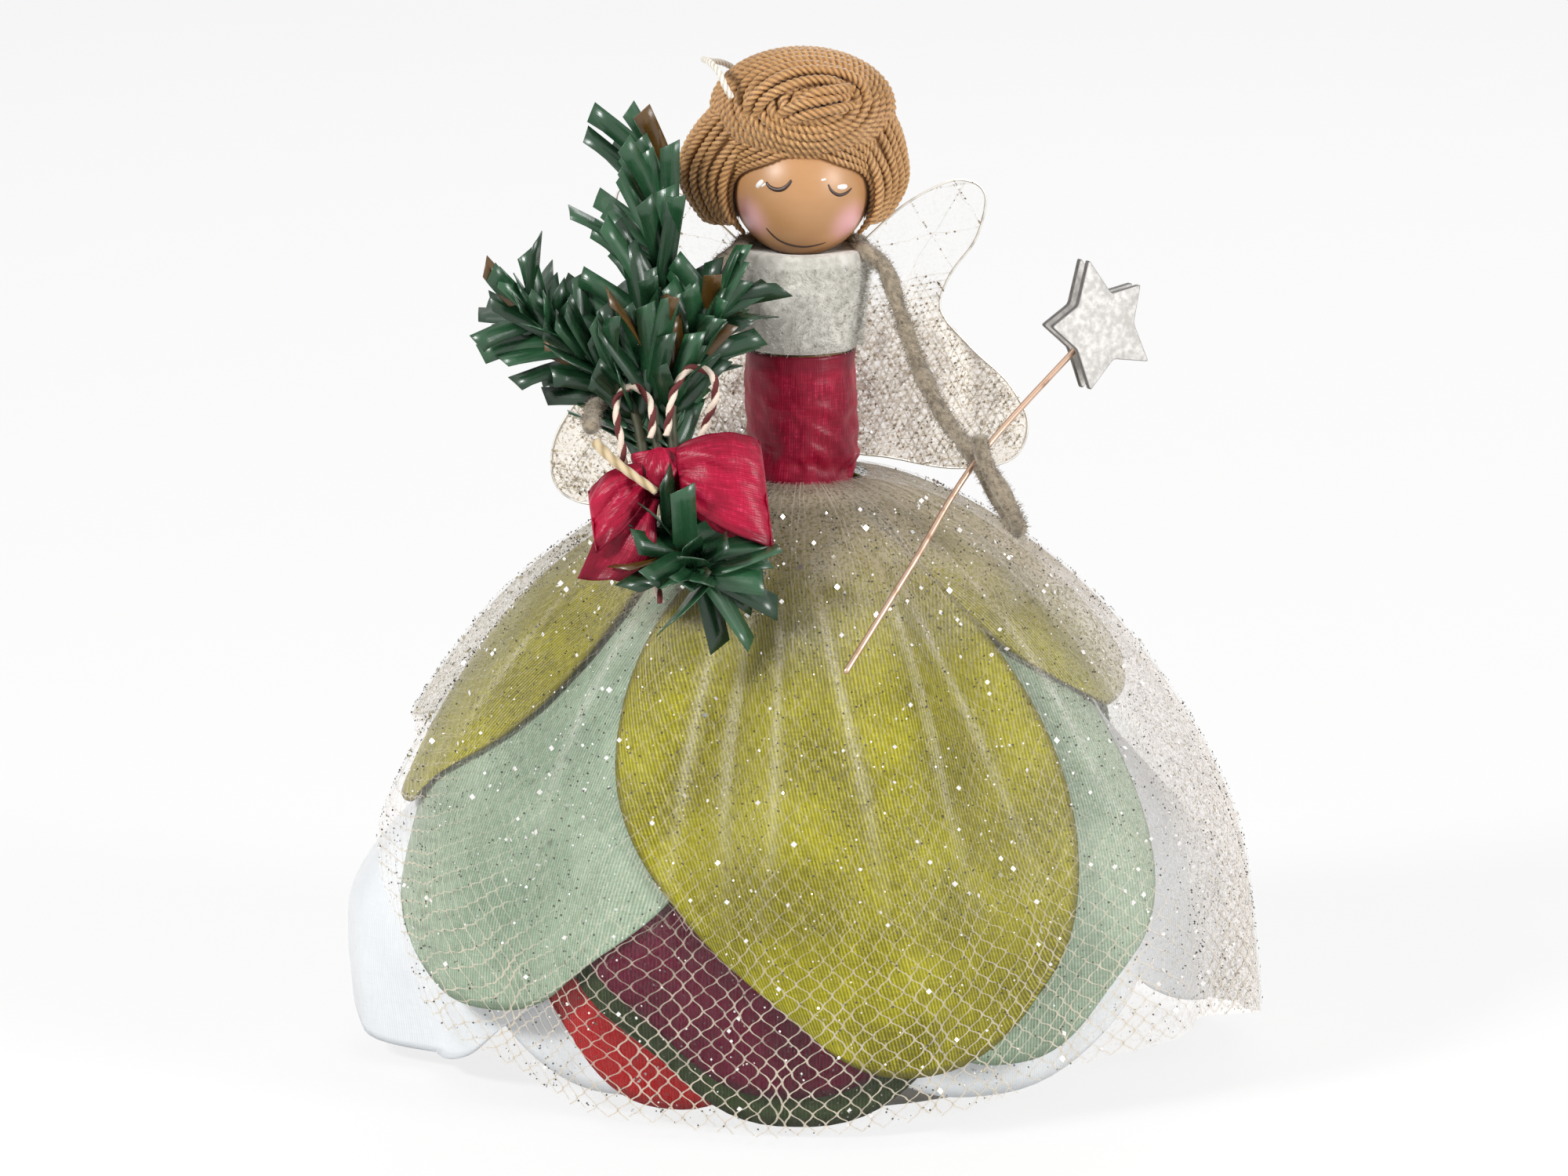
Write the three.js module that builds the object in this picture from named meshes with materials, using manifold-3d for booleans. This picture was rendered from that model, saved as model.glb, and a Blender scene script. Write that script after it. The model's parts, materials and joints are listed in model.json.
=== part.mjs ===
// Fairy ornament: a wooden bead doll on a card cone, in a skirt of fabric petals under gathered net,
// with net wings, a star wand in one arm and a pine posy with a ribbon bow in the other.
// Millimetres, +Z up, the face looks along -Y, and the origin is the middle of the base on the floor.

import * as THREE from "three";
import { mergeVertices } from "three/addons/utils/BufferGeometryUtils.js";
import Module from "manifold-3d";

const wasm = await Module();
wasm.setup();

// Clearances
const SEAT_GAP = 0.35;
const PETAL_GAP = 0.9;

// Head: a drilled wooden bead on a neck wire
const BEAD_DIAMETER = 20;
const BEAD_BORE = 3;
const NECK_WIRE_DIAMETER = 2.3;
const NECK_WIRE_DEPTH = 12;
const NECK_WIRE_RECESS = 1.5;

// Torso: a turned wooden peg in a felt bodice and a satin sash
const PEG_WAIST_DIAMETER = 13.2;
const PEG_SHOULDER_DIAMETER = 16.4;
const FELT_THICKNESS = 1.6;
const BODICE_HEIGHT = 13;
const SASH_HEIGHT = 27;
const SASH_THICKNESS = 1.1;
const SASH_CREASE = 0.35;
const SASH_CREASES = 5;

// Stand: a card cone that the peg is glued into
const CONE_HEIGHT = 77;
const CONE_BASE_DIAMETER = 72;
const CARD_THICKNESS = 1.2;
const SOCKET_DEPTH = 8;
const COLLAR_OVERLAP = 1;

// Skirt: layers of petals hung from the waist, and a net overskirt with gathered folds
const PETAL_THICKNESS = 0.5;
const PETAL_LAYERS = 7;
const SKIRT_WIDTH = 128;
const SKIRT_DEPTH_RATIO = 0.92;
const SKIRT_WIDEST_Z = 19;
const SKIRT_HEM_DIAMETER = 125;
const SKIRT_HEM_Z = 1.2;
const SKIRT_SHOULDER = 26;
const SKIRT_SHOULDER_DROP = 3;
const SKIRT_FALL = 27;
const SKIRT_TUCK = 8;
const SKIRT_HEM_FALL = 6;
const SKIRT_WAVES = 7;
const SKIRT_WAVE_HEIGHT = 1.1;
const NET_THICKNESS = 0.4;
const NET_FOLDS = 14;
const NET_FOLD_HEIGHT = 2.4;
const NET_FLARE = 4;
const NET_FLARE_ANGLE = 80;
const NET_FLARE_SPREAD = 13;
const NET_LEFT_RISE = 48;
const NET_LEFT_ANGLE = -100;
const NET_LEFT_SPREAD = 42;
const NET_RIGHT_RISE = 10;
const NET_RIGHT_ANGLE = 58;
const NET_RIGHT_SPREAD = 36;

// Arms: chenille stems, bent at the shoulders
const CHENILLE_DIAMETER = 2.6;
const SHOULDER_RADIUS = 8.6;
const SHOULDER_ANGLE = 82;
const ARM_GAP = 0.65;

// Wand: copper wire gripped in the folded hand, with a star of two felt layers
const WAND_WIRE_DIAMETER = 0.9;
const STAR_RADIUS = 9;
const STAR_NOTCH_RADIUS = 5;
const STAR_TIP_ROUND = 0.18;
const STAR_THICKNESS = 1.2;
const STAR_POINTS = 5;

// Wings: a wire outline filled with glitter net
const WING_WIRE_DIAMETER = 0.7;
const WING_NET_THICKNESS = 0.4;
const WING_ROOT_X = 1.8;
const WING_SWEEP = 14;
const WING_STEPS = 38;

// Hair: hanks of floss laid over the bead, each strand a ridge, with thicknesses at crown, ear and nape
const STRAND_RIDGE = 0.55;
const HAIR_CROWN = 7.1;
const HAIR_LEFT_EAR = 8;
const HAIR_LEFT_NAPE = 4.8;
const HAIR_RIGHT_EAR = 5.6;
const HAIR_RIGHT_NAPE = 3.2;
const HAIR_BACK_EAR = 5.4;
const HAIR_BACK_NAPE = 4.4;
const HAIR_FACE_EDGE = 2.2;
const HAIR_CROWN_POLAR = 44;
const HAIR_NAPE_POLAR = 114;
const FRINGE_POLAR = 52;
const FRINGE_TOP = 5;
const FACE_TOP_ANGLE = 44;
const FACE_SIDE_ANGLE = 64;
const FACE_EDGE_SPREAD = 26;
const HANK_END_ANGLE = 150;
const HANK_GAP_ANGLE = 2.5;
const BUN_HEIGHT = 6.8;
const BUN_RADIUS = 12.6;
const BUN_WAVE = 0.6;
const HANGER_DIAMETER = 1;

// Posy: four pine sprigs, a ribbon bow and a length of twine, bound in the arm
const STEM_DIAMETER = 1.8;
const NEEDLE_WIDTH = 2.5;
const NEEDLE_THICKNESS = 0.4;
const NEEDLE_LENGTH = 13;
const FOOT_NEEDLE_LENGTH = 10;
const NEEDLE_SPREAD = 36;
const RIBBON_THICKNESS = 0.5;
const RIBBON_WIDTH = 17;
const BAND_HEIGHT = 7;
const KNOT_WIDTH = 2.6;
const KNOT_DEPTH = 1.9;
const KNOT_HEIGHT = 3.2;
const PINCH_WIDTH = 4;
const LEFT_LOOP_WIDTH = 10;
const TAIL_WIDTH = 8;
const TAIL_RUN = 8.5;
const TAIL_DROP = 13;
const TAIL_CURL = 1.6;
const TAIL_GAP = 1.2;
const TAIL_SEAT = 0.6;
const TWINE_DIAMETER = 1.2;
const HAND_TIP_DIAMETER = 1.6;
const POSY_LEAN_BACK = 24;
const POSY_LEAN_SIDE = 7;

// Heights that follow from the sizes above
const layerPitch = PETAL_THICKNESS + PETAL_GAP;
const skirtDepth = PETAL_LAYERS * layerPitch + PETAL_THICKNESS;
const waistZ = CONE_HEIGHT - COLLAR_OVERLAP + skirtDepth;
const sashBottom = CONE_HEIGHT + SEAT_GAP;
const bodiceBottom = sashBottom + SASH_HEIGHT + SEAT_GAP;
const bodiceTop = bodiceBottom + BODICE_HEIGHT;
const beadRadius = BEAD_DIAMETER / 2;
const headZ = bodiceTop + SEAT_GAP + beadRadius;
const pegWaist = PEG_WAIST_DIAMETER / 2;
const pegShoulder = PEG_SHOULDER_DIAMETER / 2;
const collarRadius = pegWaist + SEAT_GAP + CARD_THICKNESS;
const waistRadius = collarRadius + SEAT_GAP + (skirtDepth * SKIRT_SHOULDER_DROP) / SKIRT_SHOULDER;
const bodiceRadius = pegShoulder + SEAT_GAP + FELT_THICKNESS;
const shoulderZ = bodiceTop + SEAT_GAP + CHENILLE_DIAMETER / 2;

const finish = (color, roughness, metalness = 0) =>
  new THREE.MeshStandardMaterial({ color, roughness, metalness });
const WOOD = finish(0xcf9f6d, 0.5);
const PEG_WOOD = finish(0xc8a06c, 0.7);
const STEEL = finish(0x8d8d8d, 0.4, 1);
const FELT = finish(0xb4afa6, 1);
const SATIN = finish(0x9c1430, 0.45);
const CARD = finish(0xe9e4d8, 0.9);
const NET = Object.assign(finish(0xe2dcd2, 0.7), { transparent: true, opacity: 0.4 });
const CHENILLE = finish(0x8f8677, 1);
const COPPER = finish(0xb27b58, 0.35, 1);
const SILVER_FELT = finish(0xd5d3d0, 0.6);
const GLITTER_WIRE = finish(0xd9d4c8, 0.3, 1);
const FLOSS = finish(0xc18a50, 0.7);
const CORD_WHITE = finish(0xf0ece2, 0.9);
const PINE = finish(0x2a5a34, 0.4);
const TWINE = finish(0x6a2a2a, 0.8);
const CREAM = finish(0xd9c08d, 0.8);

const ornament = new THREE.Group();
const bust = new THREE.Group();
bust.position.z = shoulderZ;
ornament.add(bust);
const crown = new THREE.Group();
crown.position.z = headZ;
ornament.add(crown);
const radians = THREE.MathUtils.degToRad;
const mix = THREE.MathUtils.lerp;
const { smoothstep } = THREE.MathUtils;
const point = (x, y, z) => new THREE.Vector3(x, y, z);

function piece(name, geometry, material, parent = ornament) {
  const mesh = new THREE.Mesh(geometry, material);
  mesh.name = name;
  parent.add(mesh);
  return mesh;
}

// Only positions, with shared corners merged, and every face turned to point out of the solid.
function closed(geometry) {
  const bare = new THREE.BufferGeometry().setAttribute("position", geometry.getAttribute("position"));
  if (geometry.index) bare.setIndex(geometry.index);
  const merged = mergeVertices(bare, 1e-4);
  const places = merged.getAttribute("position");
  const corner = (i) => new THREE.Vector3().fromBufferAttribute(places, merged.index.getX(i));
  let volume = 0;
  for (let i = 0; i < merged.index.count; i += 3)
    volume += corner(i).dot(corner(i + 1).cross(corner(i + 2)));
  if (volume < 0) merged.setIndex([...merged.index.array].reverse());
  return merged;
}

// A closed thin solid between two surfaces, each a function of u across and v along, from 0 to 1.
function sheet(front, back, columns, rows, around = false) {
  const across = around ? columns : columns + 1;
  const half = across * (rows + 1);
  const points = [];
  const faces = [];
  for (const side of [front, back])
    for (let j = 0; j <= rows; j++)
      for (let i = 0; i < across; i++) points.push(side(i / columns, j / rows));
  const at = (i, j, side) => side * half + j * across + (around ? i % columns : i);
  const quad = (a, b, c, d) => faces.push(a, b, c, a, c, d);
  for (let j = 0; j < rows; j++)
    for (let i = 0; i < columns; i++) {
      quad(at(i, j, 0), at(i, j + 1, 0), at(i + 1, j + 1, 0), at(i + 1, j, 0));
      quad(at(i, j, 1), at(i + 1, j, 1), at(i + 1, j + 1, 1), at(i, j + 1, 1));
    }
  for (let i = 0; i < columns; i++) {
    quad(at(i, 0, 0), at(i + 1, 0, 0), at(i + 1, 0, 1), at(i, 0, 1));
    quad(at(i, rows, 0), at(i, rows, 1), at(i + 1, rows, 1), at(i + 1, rows, 0));
  }
  for (let j = 0; j < rows && !around; j++) {
    quad(at(0, j, 0), at(0, j, 1), at(0, j + 1, 1), at(0, j + 1, 0));
    quad(at(columns, j, 0), at(columns, j + 1, 0), at(columns, j + 1, 1), at(columns, j, 1));
  }
  return closed(new THREE.BufferGeometry().setFromPoints(points).setIndex(faces));
}

function turned(profile, segments) {
  const outline = profile.map(([radius, z]) => new THREE.Vector2(radius, z));
  return closed(new THREE.LatheGeometry(outline, segments).rotateX(Math.PI / 2));
}

function ring(radius, sides) {
  const middle = new THREE.Vector2();
  const corner = (_, i) => new THREE.Vector2(radius, 0).rotateAround(middle, (i * 2 * Math.PI) / sides);
  return Array.from({ length: sides }, corner);
}

function tube(points, diameter, sides, steps) {
  const extrudePath = new THREE.CatmullRomCurve3(points);
  const section = new THREE.Shape(ring(diameter / 2, sides));
  return closed(new THREE.ExtrudeGeometry(section, { steps, extrudePath }));
}

function solid(geometry) {
  const { array } = geometry.getAttribute("position");
  const triVerts = new Uint32Array(geometry.index.array);
  return new wasm.Manifold(new wasm.Mesh({ numProp: 3, vertProperties: array, triVerts }));
}

function geometryOf(body) {
  const { vertProperties, triVerts } = body.getMesh();
  return new THREE.BufferGeometry()
    .setAttribute("position", new THREE.BufferAttribute(vertProperties, 3))
    .setIndex(new THREE.BufferAttribute(triVerts, 1));
}

const joined = (geometries) => geometryOf(geometries.map(solid).reduce((whole, part) => whole.add(part)));

// A repeatable spread of numbers from 0 to 1 for natural variety.
const scatter = (index) => (((Math.sin(index * 12.9898) * 43758.5453) % 1) + 1) % 1;

// Stand, peg, bodice, sash and neck wire

function skirtCone() {
  const collar = collarRadius - CARD_THICKNESS;
  const base = CONE_BASE_DIAMETER / 2;
  const profile = [
    [collar, CONE_HEIGHT],
    [collar, CONE_HEIGHT - SOCKET_DEPTH],
    [base - CARD_THICKNESS, 0],
    [base, 0],
    [collarRadius, CONE_HEIGHT - SOCKET_DEPTH * 0.5],
    [collarRadius, CONE_HEIGHT],
    [collar, CONE_HEIGHT],
  ];
  piece("skirt_cone", turned(profile, 40), CARD);
}

function torso() {
  const bore = NECK_WIRE_DIAMETER / 2 + SEAT_GAP;
  const floor = bodiceTop - NECK_WIRE_DEPTH;
  const profile = [
    [0, CONE_HEIGHT - SOCKET_DEPTH + SEAT_GAP],
    [pegWaist, CONE_HEIGHT - SOCKET_DEPTH + SEAT_GAP],
    [pegWaist, bodiceBottom],
    [pegShoulder, bodiceTop],
    [bore, bodiceTop],
    [bore, floor],
    [0, floor],
  ];
  piece("torso_peg", turned(profile, 28), PEG_WOOD);

  const inner = [pegWaist + SEAT_GAP, pegShoulder + SEAT_GAP];
  const round = FELT_THICKNESS * 0.3;
  const felt = [
    [inner[0], bodiceBottom],
    [inner[0] + FELT_THICKNESS - round, bodiceBottom],
    [inner[0] + FELT_THICKNESS, bodiceBottom + round],
    [inner[1] + FELT_THICKNESS, bodiceTop - round],
    [inner[1] + FELT_THICKNESS - round, bodiceTop],
    [inner[1], bodiceTop],
    [inner[0], bodiceBottom],
  ];
  piece("felt_bodice", turned(felt, 28), FELT);

  const neckTop = headZ + beadRadius - NECK_WIRE_RECESS;
  const neckFoot = floor + SEAT_GAP;
  const wire = NECK_WIRE_DIAMETER / 2;
  const neck = new THREE.CylinderGeometry(wire, wire, neckTop - neckFoot, 12);
  neck.rotateX(Math.PI / 2).translate(0, 0, (neckTop + neckFoot) / 2);
  piece("neck_wire", closed(neck), STEEL);
}

function sash() {
  const inner = pegWaist + SEAT_GAP;
  const wall = (radius, crease) => (u, v) => {
    const angle = u * 2 * Math.PI;
    const z = sashBottom + SASH_HEIGHT * (1 - v);
    const loose = smoothstep(z, waistZ, waistZ + SASH_HEIGHT * 0.2);
    const out = radius + crease * loose * Math.sin(v * Math.PI * SASH_CREASES + Math.sin(angle)) ** 2;
    return point(out * Math.sin(angle), -out * Math.cos(angle), z);
  };
  piece("waist_sash", sheet(wall(inner + SASH_THICKNESS, SASH_CREASE), wall(inner, 0), 18, 8, true), SATIN);
}

// Skirt: every layer follows one bell curve from the waist, over the hips, to the hem.

const bell = new THREE.CurvePath();
const widest = new THREE.Vector2(SKIRT_WIDTH / 2, SKIRT_WIDEST_Z);
const waist = new THREE.Vector2(waistRadius, waistZ);
const hem = new THREE.Vector2(SKIRT_HEM_DIAMETER / 2, SKIRT_HEM_Z);
bell.add(
  new THREE.CubicBezierCurve(
    waist,
    new THREE.Vector2(waist.x + SKIRT_SHOULDER, waist.y - SKIRT_SHOULDER_DROP),
    new THREE.Vector2(widest.x, widest.y + SKIRT_FALL),
    widest,
  ),
);
bell.add(
  new THREE.CubicBezierCurve(
    widest,
    new THREE.Vector2(widest.x, widest.y - SKIRT_TUCK),
    new THREE.Vector2(hem.x, hem.y + SKIRT_HEM_FALL),
    hem,
  ),
);
const bellLength = bell.getLength();

// The bell at a distance along it from the waist, set in by a depth square to the cloth.
function bellAt(along, depth) {
  const share = Math.min(Math.max(along / bellLength, 0), 1);
  const spot = bell.getPoint(share);
  const slope = bell.getTangent(share);
  return { radius: spot.x + slope.y * depth, z: spot.y - slope.x * depth, share };
}

function skirtPoint(angle, along, depth, push = 0) {
  const { radius, z, share } = bellAt(along, depth);
  const wave = SKIRT_WAVE_HEIGHT * share * share * Math.cos(SKIRT_WAVES * angle);
  const out = radius + wave + push;
  const flat = mix(1, SKIRT_DEPTH_RATIO, smoothstep(share, 0, 0.3));
  return point(out * Math.sin(angle), -flat * out * Math.cos(angle), z);
}

const PETAL_NECK = 9;
const PETAL_WIDEST = 0.62;
const PETAL_SWELL = 1.3;
const PETAL_TIP_REACH = 1.1;
const PETAL_TIP_ROUND = 0.12;
const PETAL_ROW_BIAS = 0.35;
const PETAL_LIFT_SPREAD = 0.42;
const PETAL_LIFT_START = 0.62;
const PETAL_LIFT_END = 0.92;

// One petal: narrow where it is glued at the waist, widest past its middle, with a broad round tip.
function petal(name, { angle, layer, rise, width, lift = 0, lean = 0 }, material) {
  const centre = radians(angle);
  const length = bellLength - rise;
  const half = (v) => {
    const swell = Math.sin((Math.PI / 2) * Math.min(1, v / PETAL_WIDEST));
    const fall = Math.max(0, v - PETAL_WIDEST) / (PETAL_TIP_REACH - PETAL_WIDEST);
    return (mix(PETAL_NECK, width, swell ** PETAL_SWELL) / 2) * Math.sqrt(1 - fall * fall);
  };
  const face = (thickness) => (u, row) => {
    const across = 1 - 2 * u;
    const v = row * (1 + PETAL_ROW_BIAS - PETAL_ROW_BIAS * row);
    const along = length * v * (1 - PETAL_TIP_ROUND * Math.abs(across) ** 2.5 * v ** 3);
    const depth = layer * layerPitch + thickness;
    const open = THREE.MathUtils.smoothstep(v, PETAL_LIFT_START, PETAL_LIFT_END);
    const push = lift * open * Math.exp(-((across / PETAL_LIFT_SPREAD) ** 2));
    const middle = centre + radians(lean) * v ** 2;
    return skirtPoint(middle + (across * half(v)) / bellAt(along, depth).radius, along, depth, push);
  };
  piece(name, sheet(face(0), face(PETAL_THICKNESS), 6, 8), material);
}

const PETAL_SETS = {
  chartreuse_petal: {
    material: finish(0xa8a01a, 0.5),
    front: { angle: 4, layer: 1, rise: 8.6, width: 64, lean: 9 },
    left: { angle: -101, layer: 1, rise: 36.4, width: 54 },
    right: { angle: 78, layer: 1, rise: 54, width: 40 },
    back: { angle: 180, layer: 1, rise: 12, width: 60 },
  },
  mint_petal: {
    material: finish(0xa9c3a4, 0.5),
    left: { angle: -47, layer: 2, rise: 14, width: 66 },
    right: { angle: 30, layer: 2, rise: 8, width: 58 },
    back_left: { angle: -140, layer: 2, rise: 17, width: 58 },
    back_right: { angle: 132, layer: 2, rise: 15, width: 58 },
  },
  crimson_petal: {
    material: finish(0x7c1330, 0.5),
    front: { angle: -6, layer: 3, rise: 4.7, width: 60 },
    back: { angle: 172, layer: 3, rise: 6.5, width: 60 },
  },
  green_petal: {
    material: finish(0x33482c, 0.55),
    front: { angle: -6, layer: 4, rise: 0.6, width: 68 },
    back: { angle: 178, layer: 4, rise: 2, width: 62 },
  },
  red_petal: {
    material: finish(0xa3161d, 0.5),
    front: { angle: -20, layer: 5, rise: 1.6, width: 60 },
    back: { angle: 184, layer: 5, rise: 4.5, width: 52 },
  },
  white_petal: {
    material: finish(0xeeeeec, 0.4),
    left: { angle: -84, layer: 6, rise: 5, width: 76, lift: 11 },
    front_left: { angle: -32, layer: 7, rise: 2, width: 76 },
    front_right: { angle: 28, layer: 6, rise: 2, width: 70 },
    right: { angle: 88, layer: 7, rise: 3, width: 70, lift: 8.5 },
    back_right: { angle: 148, layer: 6, rise: 2, width: 70 },
    back_left: { angle: -152, layer: 7, rise: 2, width: 76 },
  },
};

function petals() {
  for (const [kind, { material, ...places }] of Object.entries(PETAL_SETS))
    for (const [place, sizes] of Object.entries(places)) petal(`${kind}_${place}`, sizes, material);
}

// Net overskirt, gathered at the waist into folds that open towards the hem. It is hitched up on the left
// and stands out in a corner at the right of the hem.
function netOverskirt() {
  const near = (angle, place, spread) => {
    const turn = angle - radians(place);
    const away = Math.atan2(Math.sin(turn), Math.cos(turn)) / radians(spread);
    return Math.exp(-away * away);
  };
  const face = (depth) => (u, v) => {
    const angle = u * 2 * Math.PI;
    const fold = NET_FOLD_HEIGHT * v * Math.cos((NET_FOLDS * angle) / 2) ** 2;
    const corner = NET_FLARE * v ** 4 * near(angle, NET_FLARE_ANGLE, NET_FLARE_SPREAD);
    const left = NET_LEFT_RISE * near(angle, NET_LEFT_ANGLE, NET_LEFT_SPREAD);
    const right = NET_RIGHT_RISE * near(angle, NET_RIGHT_ANGLE, NET_RIGHT_SPREAD);
    const length = bellLength - left - right;
    return skirtPoint(angle, v * length, depth, fold + corner);
  };
  piece("net_overskirt", sheet(face(0), face(NET_THICKNESS), 4 * NET_FOLDS, 9, true), NET);
}

// Head, hair and hanging loop

function head() {
  const bore = BEAD_BORE / 2;
  const flat = Math.asin(bore / beadRadius);
  const steps = 10;
  const profile = [];
  for (let i = 0; i <= steps; i++) {
    const polar = mix(Math.PI - flat, flat, i / steps);
    profile.push([beadRadius * Math.sin(polar), headZ + beadRadius * Math.cos(polar)]);
  }
  piece("head_bead", turned([...profile, profile[0]], 22), WOOD);
}

const fromHead = (radius, polar, angle) =>
  point(
    radius * Math.sin(polar) * Math.sin(angle),
    -radius * Math.sin(polar) * Math.cos(angle),
    headZ + radius * Math.cos(polar),
  );

const scalp = beadRadius + SEAT_GAP;

// A hank laid over the scalp between two meridians, thin beside the face, each strand a ridge.
function hank(name, start, end, thickness, strands) {
  const place = (u, v) => {
    const polar = radians(mix(HAIR_CROWN_POLAR, HAIR_NAPE_POLAR, v));
    return [polar, radians(mix(start(v), end(v), u))];
  };
  const outer = (u, v) => {
    const [polar, angle] = place(u, v);
    const ridge = STRAND_RIDGE * (0.5 - 0.5 * Math.cos(2 * Math.PI * strands * u));
    return fromHead(scalp + thickness(angle, v) - ridge, polar, angle);
  };
  const inner = (u, v) => fromHead(scalp, ...place(u, v));
  piece(name, sheet(outer, inner, 2 * strands, 7), FLOSS);
}

// Thickness down a hank, from the crown over the ear to the nape
const fullness = (ear, nape, v) =>
  mix(mix(HAIR_CROWN, ear, smoothstep(v, 0, 0.55)), nape, smoothstep(v, 0.5, 1));

function hair() {
  const faceEdge = (v) => mix(FACE_TOP_ANGLE, FACE_SIDE_ANGLE, Math.sin(Math.PI * 0.62 * v));
  const sideHank = (ear, nape) => (angle, v) => {
    const turn = THREE.MathUtils.radToDeg(Math.abs(angle));
    const away = smoothstep(turn, faceEdge(v) - 4, faceEdge(v) + FACE_EDGE_SPREAD);
    const full = mix(HAIR_FACE_EDGE, fullness(ear, nape, v), away);
    return mix(full, fullness(HAIR_BACK_EAR, HAIR_BACK_NAPE, v), smoothstep(turn, 100, HANK_END_ANGLE));
  };
  hank("hair_left", (v) => -faceEdge(v), () => -HANK_END_ANGLE, sideHank(HAIR_LEFT_EAR, HAIR_LEFT_NAPE), 9);
  hank("hair_right", faceEdge, () => HANK_END_ANGLE, sideHank(HAIR_RIGHT_EAR, HAIR_RIGHT_NAPE), 9);
  const back = HANK_END_ANGLE + HANK_GAP_ANGLE;
  hank("hair_back", () => back, () => 360 - back, (_, v) => fullness(HAIR_BACK_EAR, HAIR_BACK_NAPE, v), 5);

  const fringeSide = FACE_TOP_ANGLE - HANK_GAP_ANGLE;
  const fringe = (top, bottom, ridge) => (u, v) => {
    const polar = radians(mix(HAIR_CROWN_POLAR, FRINGE_POLAR, v));
    const strand = ridge * (0.5 - 0.5 * Math.cos(2 * Math.PI * 3 * v));
    return fromHead(mix(top, bottom, v * v) - strand, polar, radians(mix(-fringeSide, fringeSide, u)));
  };
  const roll = fringe(scalp + FRINGE_TOP, scalp + STRAND_RIDGE + SEAT_GAP, STRAND_RIDGE);
  piece("hair_fringe", sheet(roll, fringe(scalp, scalp, 0), 8, 6), FLOSS);
}

// The rolled top knot fills the crown between the hanks and spreads over their upper edges.
function topKnot() {
  const cap = radians(HAIR_CROWN_POLAR - HANK_GAP_ANGLE);
  const foot = scalp + HAIR_CROWN + SEAT_GAP;
  const rim = foot * Math.cos(cap);
  const profile = [
    [0, scalp],
    [scalp * Math.sin(cap / 2), scalp * Math.cos(cap / 2)],
    [scalp * Math.sin(cap), scalp * Math.cos(cap)],
    [foot * Math.sin(cap), rim],
    [BUN_RADIUS, rim + 0.14 * BUN_HEIGHT],
    [BUN_RADIUS * 0.98, rim + 0.4 * BUN_HEIGHT],
    [BUN_RADIUS * 0.82, rim + 0.75 * BUN_HEIGHT],
    [BUN_RADIUS * 0.48, rim + 0.96 * BUN_HEIGHT],
    [0, rim + BUN_HEIGHT],
  ].map(([radius, z]) => [radius, headZ + z]);
  const shape = turned(profile, 24);
  const spot = shape.getAttribute("position");
  for (let i = 0; i < spot.count; i++) {
    if (spot.getZ(i) < headZ + rim + 0.1 * BUN_HEIGHT) continue;
    const radius = Math.hypot(spot.getX(i), spot.getY(i));
    const angle = Math.atan2(spot.getY(i), spot.getX(i));
    const swirl = 1 + (BUN_WAVE / BUN_RADIUS) * Math.cos(6 * angle + (4 * radius) / BUN_RADIUS);
    spot.setXY(i, spot.getX(i) * swirl, spot.getY(i) * swirl);
  }
  piece("hair_top_knot", shape, FLOSS);
}

const HANGER_ROUTE = [
  [-9.9, -8.75, 14.2],
  [-10.9, -9, 16],
  [-11.8, -8, 17.9],
  [-13.3, -4.5, 18.9],
  [-14, 0, 18.5],
  [-13.2, 5, 17.5],
  [-11, 9.8, 16.3],
  [-8.6, 13.6, 13.9],
  [-6.6, 16.2, 9.9],
  [-5, 17.2, 4.9],
  [-2.8, 17.1, 1.3],
  [0, 17, -0.1],
  [2.8, 17.1, 1.3],
  [4.8, 17.3, 4.9],
  [5.4, 16.7, 9.9],
  [5, 14.8, 13.7],
  [4.3, 13.1, 15.4],
];

function hangerLoop() {
  const route = HANGER_ROUTE.map((p) => point(...p));
  piece("hanger_loop", tube(route, HANGER_DIAMETER, 7, 28), CORD_WHITE, crown);
}

// Arms and wand

const shoulderTurn = Math.PI - radians(SHOULDER_ANGLE);

// Where an arm starts, in front of the stem's end by the gap that lets it swing
const armRoot = (side) =>
  new THREE.Vector2(
    side * SHOULDER_RADIUS * Math.sin(shoulderTurn),
    SHOULDER_RADIUS * Math.cos(shoulderTurn) - ARM_GAP,
  );

function shoulderStem() {
  const count = 9;
  const points = Array.from({ length: count }, (_, i) => {
    const angle = mix(-shoulderTurn, shoulderTurn, i / (count - 1));
    return point(SHOULDER_RADIUS * Math.sin(angle), SHOULDER_RADIUS * Math.cos(angle), 0);
  });
  piece("shoulder_stem", tube(points, CHENILLE_DIAMETER, 8, 16), CHENILLE, bust);
}

// The wand's grip and its two ends, and the arm that folds round it
const GRIP = point(25.2, -22.8, -26.8);
const WAND_FOOT = point(6, -48, -52.8);
const STAR_CENTRE = point(42.3, -14, -9.2);
const GRIP_REACH = CHENILLE_DIAMETER / 2 + WAND_WIRE_DIAMETER / 2 + 2 * SEAT_GAP;
const armClear = bodiceRadius + SEAT_GAP + CHENILLE_DIAMETER / 2;

// The start of an arm: forward from the stem's end, then out over the edge of the bodice
function armStart(side) {
  const root = armRoot(side);
  return [
    point(root.x, root.y, 0),
    point(root.x + 0.2 * side, root.y - 1.2, 0),
    point(side * armClear, -5.4, -2),
  ];
}

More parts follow.
